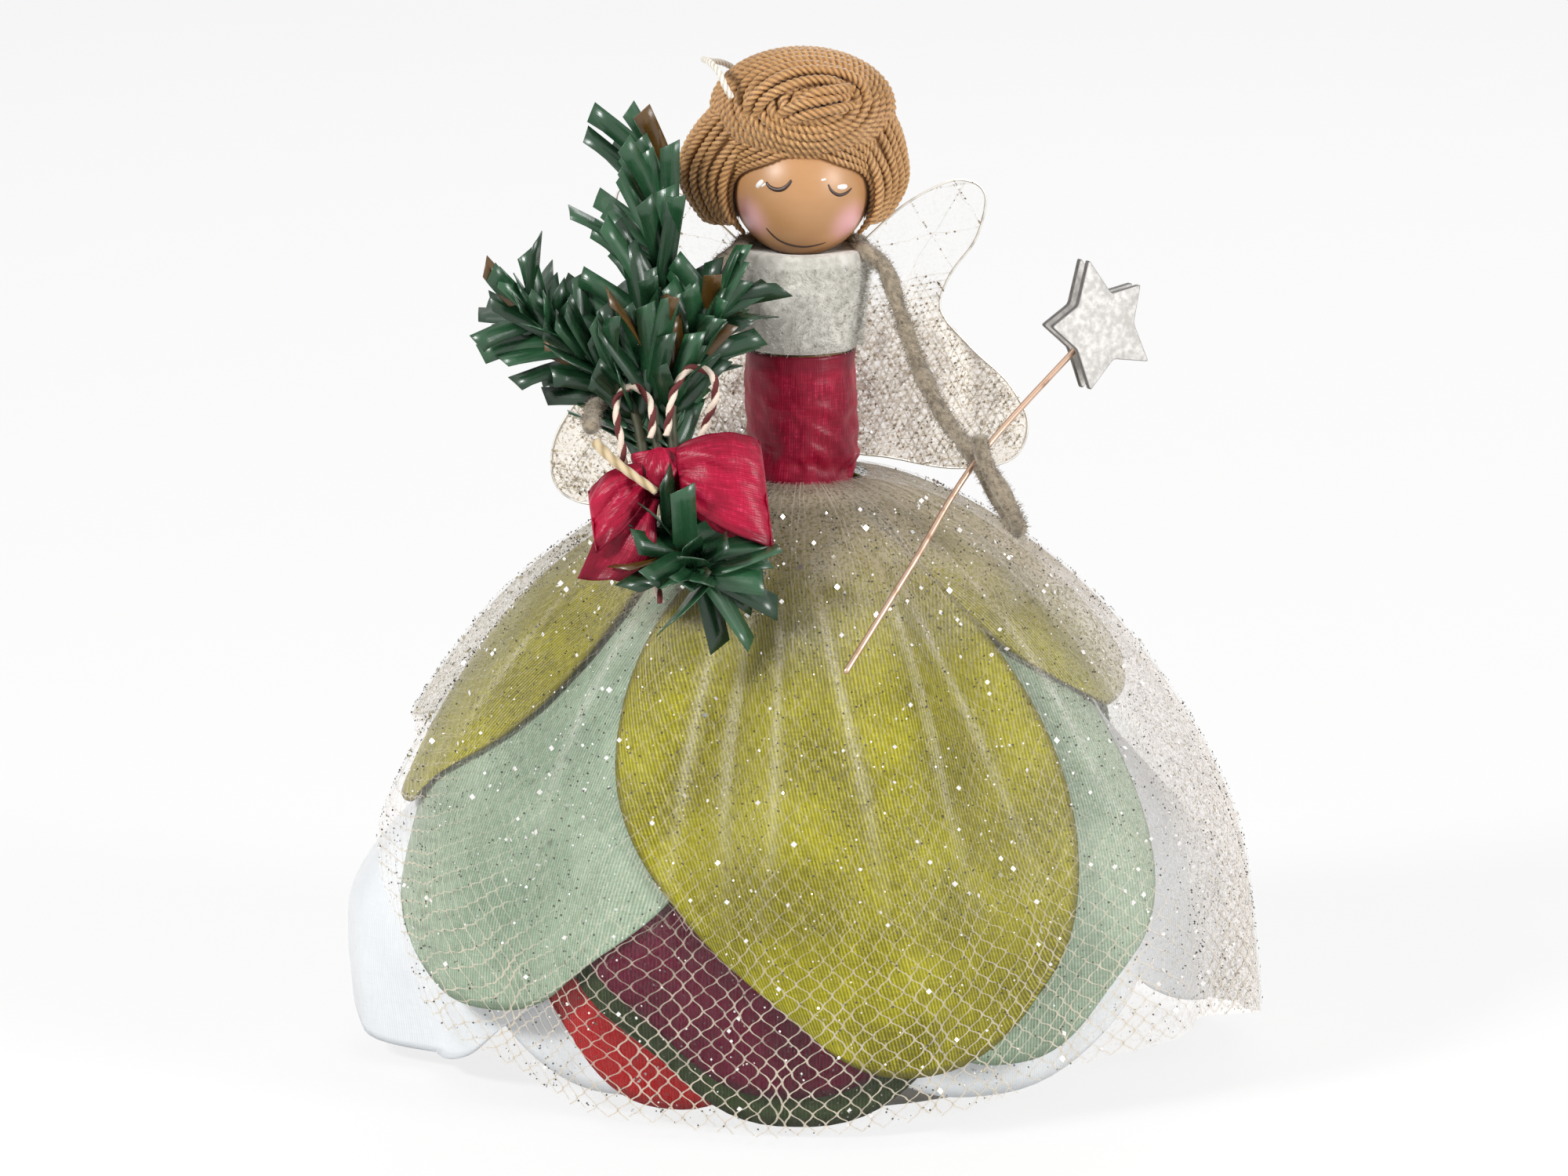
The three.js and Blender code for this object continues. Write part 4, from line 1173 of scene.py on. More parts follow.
@dataclass
class Cords:
    """The hanging loop behind the top knot, and the posy's two lengths of twine."""

    hanger_diameter: float = 1.0 * MM
    twine_diameter: float = 1.2 * MM
    hanger_ply: Ply = Ply(3, 3.2 * MM, 0.25)
    twine_ply: Ply = Ply(2, 4.4 * MM, 0.35)

    @staticmethod
    def declare(cord: bpy.types.Object, line: Route, diameter: float, far_end: str) -> None:
        """Declares a limp cord that hangs along a line."""
        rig.cord(
            cord,
            exit=line.spots[0],
            length=line.length,
            diameter=diameter,
            far_end=far_end,
            stiffness="limp",
            lay="hanging",
            path=line.spots,
        )

    def hanger(self) -> None:
        """Makes the hanging loop."""
        route = [
            (-9.9, -8.75, 14.2), (-10.9, -9, 16), (-11.8, -8, 17.9), (-13.3, -4.5, 18.9), (-14, 0, 18.5),
            (-13.2, 5, 17.5), (-11, 9.8, 16.3), (-8.6, 13.6, 13.9), (-6.6, 16.2, 9.9), (-5, 17.2, 4.9),
            (-2.8, 17.1, 1.3), (0, 17, -0.1), (2.8, 17.1, 1.3), (4.8, 17.3, 4.9), (5.4, 16.7, 9.9),
            (5, 14.8, 13.7), (4.3, 13.1, 15.4),
        ]
        piece = Piece("hanging_loop")
        half = self.hanger_diameter / 2
        line = wind(piece, in_mm(route, HEAD), lambda _: half, self.hanger_ply)
        made = piece.done(Tint.WHITE_CORD, "hanger_loop")
        self.declare(made, line, self.hanger_diameter, "object")

    def twine(self) -> None:
        """Makes the twine's loops and tails."""
        routes = {
            "twine_left": [
                (-0.9, -2, 5), (-0.3, -2.5, 7.6), (-0.4, -2.7, 10.4), (-2.4, -2.5, 12.8), (-4.8, -2.2, 11.6),
                (-5.3, -1.8, 8.2), (-5, -1.3, 4.5), (-5.2, -0.6, 0), (-5, 0, -6), (-4, -0.6, -11),
                (-2.8, -1.6, -15.5), (-2.2, -2.2, -19),
            ],
            "twine_right": [
                (1.4, -2.2, 5), (2.2, -3, 8), (3.4, -3.8, 11.4), (6, -4.4, 14), (8.8, -4.4, 12.8),
                (9, -3, 9.9), (7.6, -1.2, 7.2), (6, -0.1, 3.8), (5.2, 0.1, -2), (5, 0.1, -8),
                (5.2, -0.3, -11),
            ],
        }
        half = self.twine_diameter / 2
        for name, route in routes.items():
            piece = Piece(f"{name}_ply")
            points = in_mm(route, POSY_PLACE, POSY_TURN)
            line = wind(piece, points, lambda _: half, self.twine_ply, 0.15 * MM, 16, float)
            made = piece.done(Tint.TWINE, name)
            self.declare(made, line, self.twine_diameter, "bare")


class Bell:
    """The curve that every layer of the skirt follows from the waist to the hem."""

    def __init__(self) -> None:
        """Draws the curve as even steps of its length."""
        curves = (
            ((9.68846, 86.3), (35.68846, 83.3), (64.0, 46.0), (64.0, 19.0)),
            ((64.0, 19.0), (64.0, 11.0), (62.5, 7.2), (62.5, 1.2)),
        )
        self.line: list[Vector] = []
        for a, b, c, d in curves:
            a, b, c, d = (Vector(p) * MM for p in (a, b, c, d))
            for i in range(301):
                t = i / 300
                k = 1 - t
                self.line.append(a * k**3 + b * (3 * k * k * t) + c * (3 * k * t * t) + d * t**3)
        self.run = run_along(self.line)
        self.length = self.run[-1]

    def at(self, along: float, depth: float) -> tuple[float, float]:
        """The radius and height of a place on the curve or inside it.

        Args:
            along: The distance from the waist along the curve.
            depth: The depth inside the curve.

        Returns:
            The radius and the height.
        """
        i, spot = spot_at(self.line, self.run, min(max(along, 0.0), self.length))
        low, high = self.line[max(i - 3, 0)], self.line[min(i + 3, len(self.line) - 1)]
        slope = (high - low).normalized()
        return spot.x + slope.y * depth, spot.y - slope.x * depth

    def point(self, angle: float, along: float, depth: float, push: float = 0.0) -> Vector:
        """A point of the skirt.

        Args:
            angle: The angle round the ornament, in radians from its front.
            along: The distance from the waist along the curve.
            depth: The depth inside the curve.
            push: How far it stands out beyond the skirt's own waves.

        Returns:
            The point.
        """
        share = min(max(along / self.length, 0.0), 1.0)
        radius, height = self.at(along, depth)
        out = radius + 1.1 * MM * share**2 * cos(7 * angle) + push + self.fold(angle, share)
        flat = mix(1, 0.92, smooth(share, 0, 0.3))
        return Vector((out * sin(angle), -flat * out * cos(angle), height))

    @staticmethod
    def fold(angle: float, share: float) -> float:
        """The soft folds that all layers share.

        Args:
            angle: The angle round the ornament, in radians from its front.
            share: The share of the way from the waist to the hem.

        Returns:
            How far the cloth stands out.
        """
        swing = sin(9 * angle + 0.17 - 0.8 * share) + 0.35 * sin(17 * angle + 1.3 + 3 * share)
        swing += 0.7 * round_noise(3, angle, 4 * share)
        front = 0.4 + 0.6 * cos(angle) ** 2
        return 2.3 * MM * front * smooth(share, 0.08, 0.4) * (1 - 0.7 * smooth(share, 0.78, 1)) * swing


@dataclass(frozen=True)
class Petal:
    """One cloth petal: where it hangs, in which layer, how short it stops and how wide it is."""

    name: str
    finish: Tint
    angle: float
    layer: int
    rise: float
    width: float
    lift: float = 0.0
    lean: float = 0.0


@dataclass
class Skirt:
    """Twenty petals in layers under a gathered net overskirt."""

    bell: Bell
    pitch: float = 1.4 * MM
    cloth: float = 0.35 * MM
    petal_root: float = 9.0 * MM
    cells: int = 132
    cell_height: float = 3.2 * MM
    thread: float = 0.28 * MM
    pleats: int = 120
    flakes: int = 13000
    folds: tuple[tuple[float, float], ...] = (
        (-16, -9), (-11, 1), (-3, -7), (4, 12), (19, 11), (24, 22), (43, 13), (61, 20), (-37, -6), (-60, -14),
    )

    def petals(self) -> list[Petal]:
        """All petals, from the outer layer in."""
        rows = (
            (Tint.CHARTREUSE, "chartreuse", 1, ("front", 3, 8.6, 67, 0, 13), ("left", -89, 38, 62)),
            (Tint.CHARTREUSE, "chartreuse", 1, ("right", 70, 58, 38), ("back", 180, 12, 60)),
            (Tint.MINT, "mint", 2, ("left", -49, 14, 70), ("right", 30, 8, 58)),
            (Tint.MINT, "mint", 2, ("back_left", -140, 17, 58), ("back_right", 150, 15, 50)),
            (Tint.CRIMSON, "crimson", 3, ("front", -2, 4.7, 68), ("back", 172, 6.5, 60)),
            (Tint.GREEN, "green", 4, ("front", -1, 0.6, 77), ("back", 178, 2, 62)),
            (Tint.RED, "red", 5, ("front", -20, 1.6, 60), ("back", 184, 4.5, 52)),
            (Tint.WHITE, "white", 6, ("left", -76, 1.2, 98, 11), ("front_right", 30, 2, 84)),
            (Tint.WHITE, "white", 6, ("back_right", 148, 2, 70)),
            (Tint.WHITE, "white", 7, ("front_left", -32, 2, 76), ("right", 88, 6, 70, 7)),
            (Tint.WHITE, "white", 7, ("back_left", -152, 2, 76)),
        )
        made = []
        for finish, colour, layer, *cuts in rows:
            for where, angle, rise, width, *more in cuts:
                name = f"{colour}_petal_{where}"
                lift, lean = (*more, 0, 0)[:2]
                made.append(Petal(name, finish, angle, layer, rise * MM, width * MM, lift * MM, lean))
        return made

    def petal(self, cut: Petal) -> None:
        """Makes one petal.

        Args:
            cut: Its measures.
        """
        centre = radians(cut.angle)
        length = self.bell.length - cut.rise
        depth = cut.layer * self.pitch + 0.25 * MM
        phase = 6.28 * scatter(cut.angle)

        def half(v: float) -> float:
            """Half the petal's width at a share of its length."""
            swell = sin(pi / 2 * min(1, v / 0.62))
            fall = max(0, v - 0.62) / 0.48
            return mix(self.petal_root, cut.width, swell**1.3) / 2 * sqrt(1 - fall * fall)

        def spread(u: float, row: float) -> tuple[float, float, float]:
            """The share of the length, the place across from -1 to 1 and the distance from the waist."""
            v = row * (1.35 - 0.35 * row)
            across = sin(pi * (u - 0.5))
            along = length * v * (1 - 0.12 * abs(across) ** 2.5 * v**3)
            return v, across, along

        def bearing(v: float, across: float, along: float) -> float:
            """The angle round the ornament, in radians from its front."""
            wide = across * half(v) / self.bell.at(along, depth)[0]
            return centre + radians(cut.lean) * v * v + wide

        def place(u: float, row: float) -> Vector:
            """The petal's point: on the bell, rippled near its end and lifted where it hangs free."""
            v, across, along = spread(u, row)
            ripple = 0.3 * MM * v**5 * sin(4.5 * across + phase) * (0.4 + 0.6 * across * across)
            angle = bearing(v, across, along)
            turn = abs(degrees(angle))
            ahead = 1 - smooth(turn, 94, 124)
            free = smooth(turn, 70, 86) * ahead * smooth(v, 0.5, 0.84)
            below = 0.75 * smooth(along, 106.5 * MM, 114 * MM) * smooth(turn, 42, 52) * ahead
            push = cut.lift * max(free, below if angle < 0 else 0.0) + ripple
            return self.bell.point(angle, along, depth, push)

        def flat(u: float, row: float) -> tuple[float, float]:
            """The place on the flat cloth."""
            v, across, along = spread(u, row)
            return (across * half(v), along)

        def edge(u: float, row: float) -> float:
            """The tone: dark along the edge, and lower in the fold valleys for painted shade there."""
            v, across, _ = spread(u, row)
            rim = min(1.0, min((1 - abs(across)) * half(v), (1 - v) * length) / (0.9 * MM))
            # Painted shade: the tone drops from the ridges to the valleys of the shared folds.
            fold = self.bell.fold(bearing(v, across, v * length), v)
            return rim * (0.72 + 0.28 * smooth(fold, -2.6 * MM, 2.0 * MM))

        piece = Piece(f"{cut.name}_cloth")
        fine = 2 if cut.lift else 1
        piece.lay(30 * fine, 44 * fine, place, flat, edge)
        made = piece.done(cut.finish, cut.name)
        declare_sheet(made, (cut.width, length), "gathered", ["skirt_cone"])
        thicken(made, self.cloth)

    def net_point(self, angle: float, v: float, depth: float = 0.0) -> Vector:
        """A point of the overskirt.

        Args:
            angle: The angle round the ornament, in radians from its front.
            v: The share of the overskirt's length.
            depth: The depth inside it.

        Returns:
            The point.
        """
        turn = degrees(angle)
        fold = 2.4 * MM * v * cos(7 * angle) ** 2
        corner = 4.0 * MM * v**4 * near(turn, 80, 13)
        length = self.bell.length - 48.0 * MM * near(turn, -100, 42) - 10.0 * MM * near(turn, 58, 36)
        return self.bell.point(angle, v * length, depth, fold + corner)

    def net(self) -> None:
        """Makes the overskirt: a fine veil, the threads of its cells and its glitter."""
        veil = Piece("overskirt_veil")

        def cover(u: float, v: float) -> float:
            """How dense the veil is: close at the waist, at the sides and along the pleats."""
            turn = degrees(u * 2 * pi)
            gathered = (1 - smooth(v, 0.05, 0.46)) ** 1.3
            side = 0.8 * near(turn, 96, 34) + 0.5 * near(turn, -104, 30)
            pleats = sum(near(turn, a + b * v * v + 1.5 * sin(7 * v + a), 0.85) for a, b in self.folds)
            pleats *= 0.26 * smooth(v, 0.1, 0.3) * (1 - smooth(v, 0.4, 0.8))
            return min(1.0, 0.03 + 0.8 * gathered + side * smooth(v, 0.1, 0.3) + pleats)

        veil.lay(336, 60, lambda u, v: self.net_point(2 * pi * u, v, 0.2 * MM), None, cover, weld=True)
        film = veil.done(Tint.HAZE, "net_overskirt")
        flat = (2 * pi * 66 * MM, self.bell.length)
        extra = [
            self.threads("overskirt_threads", self.cells, self.thread, 1.0),
            self.threads("overskirt_lining", 150, 0.16 * MM, 0.74),
            self.gathers(),
            self.glitter(),
        ]
        declare_sheet(film, flat, "gathered", ["chartreuse_petal_front"], with_pieces=extra)

    def threads(self, name: str, cells: int, thick: float, reach: float) -> bpy.types.Object:
        """One layer of the net's threads: two sets that cross in diamonds.

        Args:
            name: The layer's name.
            cells: How many cells there are round it.
            thick: How thick a thread is at the hem.
            reach: The share of the skirt's length that it covers.

        Returns:
            The threads.
        """
        turns = 2 * self.bell.length * reach / self.cell_height
        rows = round(turns * (4 if reach == 1 else 2))
        step = 2 * pi / cells

        def place(index: int, u: float, v: float) -> Vector:
            """A thread's point, from its number and shares across and along."""
            way = 1 if index % 2 else -1
            down = v * reach * (1 - 0.012 * scatter(index))
            bar = 0.11 * sin(2 * pi * turns * v)
            angle = (index // 2 + 0.3 * reach) * step + way * (turns * v - bar) * step / 2
            angle += 0.8 * (1 - smooth(down, 0.0, 0.75)) * sin(19 * angle) / 19
            angle += 0.6 * step * round_noise(9, angle, 9 * down + reach)
            spot = self.net_point(angle, down, -0.1 * MM)
            wide = thick * (0.4 + 0.6 * smooth(down, 0.3, 0.95))
            away = max(hypot(spot.x, spot.y), 1e-4)
            ridge = -0.1 * MM - 0.06 * MM * (1 - abs(2 * u - 1))
            return self.net_point(angle + (u - 0.5) * wide / away, down, ridge)

        piece = Piece(name)
        piece.strips(2 * cells, 1, rows, place, tone=lambda _, v: 0.26 + 0.74 * smooth(v * reach, 0.66, 0.94))
        return piece.done(Tint.TULLE, "net_overskirt", replaces=False)

    def gathers(self) -> bpy.types.Object:
        """The pleats of the gathered net: close bunches of thread that fan out from the waist."""
        chance = random.Random(5)
        lines = []
        for index in range(self.pleats):
            bunch = 2 * pi * (index % 26) / 26 + 0.11 * sin(index % 26 * 7)
            wander = chance.gauss(0, 0.05)
            drift, end = chance.uniform(-0.16, 0.16), chance.uniform(0.2, 0.62)
            lines.append((bunch + wander, drift, end, chance.random() * 6))

        def place(index: int, u: float, v: float) -> Vector:
            """A pleat's point, from its number and shares across and along."""
            angle, drift, end, phase = lines[index]
            along = v * end
            sway = 0.012 * sin(9 * along + phase) + 0.004 * sin(60 * along + phase)
            angle += drift * along * (0.4 + along) + sway
            wide = 0.15 * MM * (1 - 0.5 * v)
            reach = max(self.bell.at(along * self.bell.length, 0)[0], 1e-3)
            return self.net_point(angle + (u - 0.5) * wide / reach, along, -0.16 * MM)

        piece = Piece("overskirt_gathers")
        piece.strips(len(lines), 1, 40, place, tone=lambda _, v: 0.6 - 0.45 * v)
        return piece.done(Tint.TULLE, "net_overskirt", replaces=False)

    def glitter(self) -> bpy.types.Object:
        """The net's glitter: flakes of many sizes, most of them dark or small."""
        chance = random.Random(7)
        flakes = []
        for _ in range(self.flakes):
            v = chance.uniform(0.05, 0.99) ** 0.8
            angle = chance.uniform(0, 2 * pi)
            bright = chance.random() < 0.24
            size = chance.uniform(0.13, 0.3) * MM
            if bright and chance.random() < 0.2:
                size = chance.uniform(0.36, 0.72) * MM
            spot = self.net_point(angle, v, -0.22 * MM)
            out = Vector((sin(angle), -cos(angle), 0.35))
            face = (out + any_way(chance) * 0.9).normalized()
            flakes.append((spot, face, size, chance.uniform(0.7, 1) if bright else 0.1))
        piece = Piece("overskirt_glitter")
        lay_flakes(piece, flakes)
        return piece.done(Tint.FLAKES, "net_overskirt", replaces=False)

    def build(self) -> None:
        """Makes the petals and the overskirt."""
        for cut in self.petals():
            self.petal(cut)
        self.net()


@dataclass
class Torso:
    """The felt bodice and the satin sash."""

    bodice_low: float = 104.7 * MM
    bodice_high: float = 117.7 * MM
    sash_low: float = 77.35 * MM
    sash_high: float = 104.35 * MM
    inner: float = 6.95 * MM
    flare: float = 1.6 * MM
    felt: float = 1.6 * MM
    sash: float = 1.1 * MM

    def bodice(self) -> None:
        """Makes the felt bodice with its nap."""
        profile = (
            (0.05, 0.0), (0.55, 0.0), (0.9, 0.04), (1.0, 0.12), (1.04, 0.35), (1.06, 0.6), (1.03, 0.86),
            (0.92, 1.02), (0.55, 1.12), (0.05, 1.13), (-0.8, 1.12), (-1.8, 1.1), (-3.4, 1.06),
        )

        def wall(v: float) -> tuple[float, float]:
            """How far out and up the profile is, in thicknesses and heights, at a share of its way."""
            place = v * (len(profile) - 1)
            i = min(int(place), len(profile) - 2)
            (a, b), (c, d) = profile[i], profile[i + 1]
            return mix(a, c, place - i), mix(b, d, place - i)

        def place(u: float, v: float) -> Vector:
            """The felt's point: the profile turned round the axis, and a little lumpy."""
            out, up = wall(v)
            angle = 2 * pi * u
            lump = round_noise(4, angle, 5 * up) * 0.18 * MM
            radius = self.inner + self.flare * min(up, 1) + self.felt * out + lump * max(out, 0)
            return about(radius, angle, mix(self.bodice_low, self.bodice_high, up))

        piece = Piece("bodice_felt")
        piece.lay(96, 48, place, weld=True)
        piece.done(Tint.FELT, "felt_bodice", outwards=True)
        chance = random.Random(3)

        def root(_: int) -> tuple[Vector, Vector]:
            """Where a fibre of the nap starts and the way out there."""
            angle, up = chance.uniform(-2.5, 2.5), chance.uniform(0, 1)
            radius = self.inner + self.flare * up + self.felt * 1.02
            out = Vector((sin(angle), -cos(angle), 0))
            return out * radius + Vector((0, 0, mix(self.bodice_low, self.bodice_high, up))), out

        nap = Piece("bodice_nap")
        fuzz(nap, 5200, root, 0.9 * MM, 4)
        nap.done(Tint.FELT, "felt_bodice", replaces=False)

    def waist(self) -> None:
        """Makes the sash, with folds that cross it."""

        def place(u: float, v: float) -> Vector:
            """The sash's point, with creases that cross it and bunch up below."""
            angle = 2 * pi * u + pi
            height = mix(self.sash_low, self.sash_high, v)
            crease = sin(11 * v + 1.6 * sin(angle - 0.7)) * 0.4
            fold = round_noise(2.2, angle, 7 * v)
            crease += (0.9 - 2.4 * abs(fold)) * (1.1 - 0.8 * v)
            fold = noise.noise(Vector((3 * sin(angle) + 9 * v, 3 * cos(angle), 11 * v)))
            crease += (0.3 - 0.9 * abs(fold)) * (1.1 - 0.8 * v)
            crease += 1.1 * (1 - smooth(v, 0.3, 0.6)) * sin(26 * v + 2 * angle)
            radius = self.inner + self.sash * 0.75 + 0.5 * MM * crease * sin(pi * min(1, v * 6) / 2)
            return about(radius, angle, height)

        length = 2 * pi * (self.inner + self.sash)
        tall = self.sash_high - self.sash_low

        def flat(u: float, v: float) -> tuple[float, float]:
            """The place on the flat ribbon."""
            return (u * length, v * tall)

        piece = Piece("sash_satin")
        piece.lay(120, 60, place, flat, lambda u, v: min(1.0, min(v, 1 - v) * 8), weld=True)
        made = piece.done(Tint.RIBBON, "waist_sash")
        declare_sheet(made, (length, tall), "stretched", ["torso_peg"])
        thicken(made, 0.3 * MM)

    def build(self) -> None:
        """Makes both."""
        self.bodice()
        self.waist()


@dataclass
class Head:
    """The painted bead and its floss hair."""

    bead: float = 10.0 * MM
    bore: float = 1.3 * MM
    scalp: float = 10.35 * MM
    strand: float = 0.72 * MM
    floss: Ply = Ply(3, 2.8 * MM, 0.4)
    back_ear: float = 5.4 * MM
    back_nape: float = 4.4 * MM
    photo_scale: float = 0.114 * MM
    photo_centre: tuple[float, float] = (1021.0, 246.0)

    def around(self, radius: float, polar: float, angle: float) -> Vector:
        """A point about the bead's centre.

        Args:
            radius: Its distance from the centre.
            polar: Degrees down from the top.
            angle: Degrees round from the face.

        Returns:
            The point.
        """
        p, a = radians(polar), radians(angle)
        way = Vector((sin(p) * sin(a), -sin(p) * cos(a), cos(p)))
        return HEAD + way * radius

    def on_face(self, column: float, row: float, out: float = 0.0) -> Vector:
        """The point of the bead that the photograph shows at a pixel.

        Args:
            column: The pixel's column.
            row: Its row.
            out: How far the point stands off the bead.

        Returns:
            The point.
        """
        tilt = radians(CAMERA_TILT)
        a = (column - self.photo_centre[0]) * self.photo_scale
        b = (self.photo_centre[1] - row) * self.photo_scale
        deep = sqrt(max(self.bead**2 - a * a - b * b, 0.0))
        up = Vector((0, sin(tilt), cos(tilt)))
        ahead = Vector((0, -cos(tilt), sin(tilt)))
        way = Vector((a, 0, 0)) + up * b + ahead * deep
        return HEAD + way.normalized() * (self.bead + out)

    def skull(self) -> None:
        """Makes the bead with its bore, and paints the face, with painted highlights on the eyes."""
        piece = Piece("head_bead_painted")
        low = asin(self.bore / self.bead)
        line = []
        for i in range(41):
            polar = mix(low, pi - low, i / 40)
            line.append(Vector((self.bead * sin(polar), 0, self.bead * cos(polar))) + HEAD)
        line.append(line[0].copy())
        verts = [piece.bm.verts.new(p) for p in line]
        edges = [piece.bm.edges.new(pair) for pair in zip(verts, verts[1:])]
        spin = {"cent": HEAD, "axis": (0, 0, 1), "angle": 2 * pi, "steps": 64, "use_merge": True}
        bmesh.ops.spin(piece.bm, geom=[*verts, *edges], **spin)
        bmesh.ops.remove_doubles(piece.bm, verts=piece.bm.verts, dist=0.001 * MM)
        piece.done(Tint.SKIN, "head_bead", outwards=True)
        strokes = {
            "left_eye": (
                Tint.INK,
                0.34,
                [(976, 243), (981, 250), (989, 253.6), (997, 253), (1004, 248), (1009, 241)],
            ),
            "right_eye": (
                Tint.INK,
                0.27,
                [(1054, 246), (1059, 255), (1068, 260), (1078, 257), (1085, 250)],
            ),
            "mouth": (
                Tint.INK,
                0.27,
                [(976, 300), (983, 308), (993, 316), (1008, 322), (1025, 324), (1040, 322), (1053, 318)],
            ),
            # The glints and small glints are painted highlights, in white strokes over the eyes.
            "left_glint": (Tint.EYE_WHITE, 0.42, [(964, 251), (968, 246), (973, 241)]),
            "right_glint": (Tint.EYE_WHITE, 0.44, [(1066, 250), (1072, 250), (1079, 248)]),
            "left_small_glint": (Tint.EYE_WHITE, 0.2, [(970, 250), (974, 247), (977, 245)]),
            "right_small_glint": (Tint.EYE_WHITE, 0.2, [(1045, 242), (1049, 241), (1053, 240)]),
        }
        for name, (finish, wide, way) in strokes.items():
            stroke = Piece(f"face_{name}")
            points = [self.on_face(*p, out=-0.1 * MM) for p in way]
            wind(stroke, points, self.brush(wide * MM), sides=8)
            stroke.done(finish, "head_bead", replaces=False)

    @staticmethod
    def brush(wide: float) -> Callable[[float], float]:
        """The radius along a brush stroke, full in the middle and thin at both ends."""
        return lambda u: wide * (0.45 + 0.55 * sin(pi * (0.08 + 0.84 * u)))

    @staticmethod
    def taper(thick: float, ends: float) -> Callable[[float], float]:
        """The radius along a strand, with the share of it that is left at the ends."""
        return lambda u: thick * (ends + (1 - ends) * sin(pi * u) ** 0.3)

    @staticmethod
    def fullness(ear: float, nape: float, v: float) -> float:
        """How far a hank stands off the scalp, from the crown to the nape."""
        crown = mix(7.1 * MM, ear, smooth(v, 0, 0.55))
        return mix(crown, nape, smooth(v, 0.5, 1))

    @staticmethod
    def face_edge(v: float) -> float:
        """The angle where the hair meets the face, in degrees."""
        return mix(44, 64, sin(pi * 0.62 * v))

    def tucked(self, out: float, v: float, angle: float) -> Vector:
        """A point of a hank, off the scalp and at an angle in degrees, which tucks in at the nape."""
        kept = mix(out, 1.0 * MM, 0.8 * smooth(v, 0.9, 1))
        return self.around(self.scalp + kept, mix(42, 115, v), angle)

    def comb(
        self,
        piece: Piece,
        place: Callable[[float, float, float], Vector],
        strands: int,
        sway: float,
        under: tuple[int, int],
    ) -> None:
        """Lays a hank's strands side by side, over a sheet of painted shade, in darker floss, that closes the gaps.

        Args:
            piece: The mesh that they go into.
            place: The hank's surface, from shares across and along and a depth.
            strands: How many strands there are.
            sway: How far they stray, as a share of the hank's width.
            under: The sheet's faces across and along.
        """
        for i in range(strands):
            share = (i + 0.5) / strands
            stray = sway * sin(5 * i)
            points = [place(share + stray * sin(k / 2 + i), k / 12, self.strand) for k in range(13)]
            wind(piece, points, self.taper(self.strand, 0.6), self.floss, 0.28 * MM)
        # Painted shade: the sheet under the strands has a tone of 0.4, which darkens it towards the groove colour.
        piece.lay(*under, lambda u, v: place(u, v, 1.6 * self.strand), None, lambda u, v: 0.4)

    def hank(self, node: str, side: int, ear: float, nape: float, strands: int) -> None:
        """Makes a side hank: strands from the crown that tuck in at the nape.

        Args:
            node: Its node.
            side: -1 for the left and 1 for the right.
            ear: How full it is at the ear.
            nape: How full it is at the nape.
            strands: How many strands it has across.
        """
        piece = Piece(f"{node}_floss")

        def thickness(angle: float, v: float) -> float:
            """How far the hank stands off the scalp, thin where it meets the face."""
            full = self.fullness(ear, nape, v)
            rise = smooth(angle - self.face_edge(v), 0, 26)
            back = smooth(angle, 100, 150)
            full = mix(full, self.fullness(self.back_ear, self.back_nape, v), back)
            return mix(2.2 * MM, full, rise)

        def place(share: float, v: float, inset: float) -> Vector:
            """The hank's point, from shares across and along and a depth."""
            angle = mix(self.face_edge(v) + 3, 152, share)
            return self.tucked(thickness(angle, v) - inset, v, side * angle)

        self.comb(piece, place, strands, 0.012, (24, 24))
        piece.done(Tint.FLOSS, node)

    def back(self) -> None:
        """Makes the back hank."""
        piece = Piece("hair_back_floss")

        def place(share: float, v: float, inset: float) -> Vector:
            """The hank's point, from shares across and along and a depth."""
            out = self.fullness(self.back_ear, self.back_nape, v) - inset
            return self.tucked(out, v, mix(151, 209, share))

        self.comb(piece, place, 12, 0.0, (12, 20))
        piece.done(Tint.FLOSS, "hair_back")

    def hood(self) -> None:
        """Makes the fringe: strands that go from the chin over the brow and down again."""
        piece = Piece("hair_fringe_floss")
        tilt = radians(20)
        face = Vector((0, -cos(tilt), -sin(tilt)))
        up = Vector((0, -sin(tilt), cos(tilt)))
        aside = Vector((1, 0, 0))

        def place(cone: float, turn: float, out: float) -> Vector:
            """A point off the scalp, from degrees away from the face's middle and round it."""
            b, t = radians(cone), radians(turn)
            way = face * cos(b) + (up * cos(t) + aside * sin(t)) * sin(b)
            return HEAD + way * (self.scalp + out)

        for i in range(6):
            cone = 57.5 + 4.1 * i
            ends = 128 - 5 * i
            out = 0.35 * MM + 0.72 * MM * i
            points = []
            for k in range(25):
                turn = mix(-ends, ends, k / 24)
                side = smooth(abs(turn), 30, 80)
                rise = mix(out, 0.4 * MM + 0.28 * MM * i, side)
                points.append(place(mix(cone, 74 + 3.2 * i, side), turn, rise))
            wind(piece, points, self.taper(0.56 * MM, 0.5), self.floss, 0.26 * MM)

        def under(u: float, v: float) -> Vector:
            """A point of the sheet of painted shade under the strands."""
            cone = mix(59, 84, v) + 13 * smooth(abs(2 * u - 1), 0.25, 0.68)
            return place(cone, mix(-118, 118, u), -0.1 * MM)

        # Painted shade: this sheet's tone of 0.2 makes it dark.
        piece.lay(30, 8, under, None, lambda u, v: 0.2)
        piece.done(Tint.FLOSS, "hair_fringe")

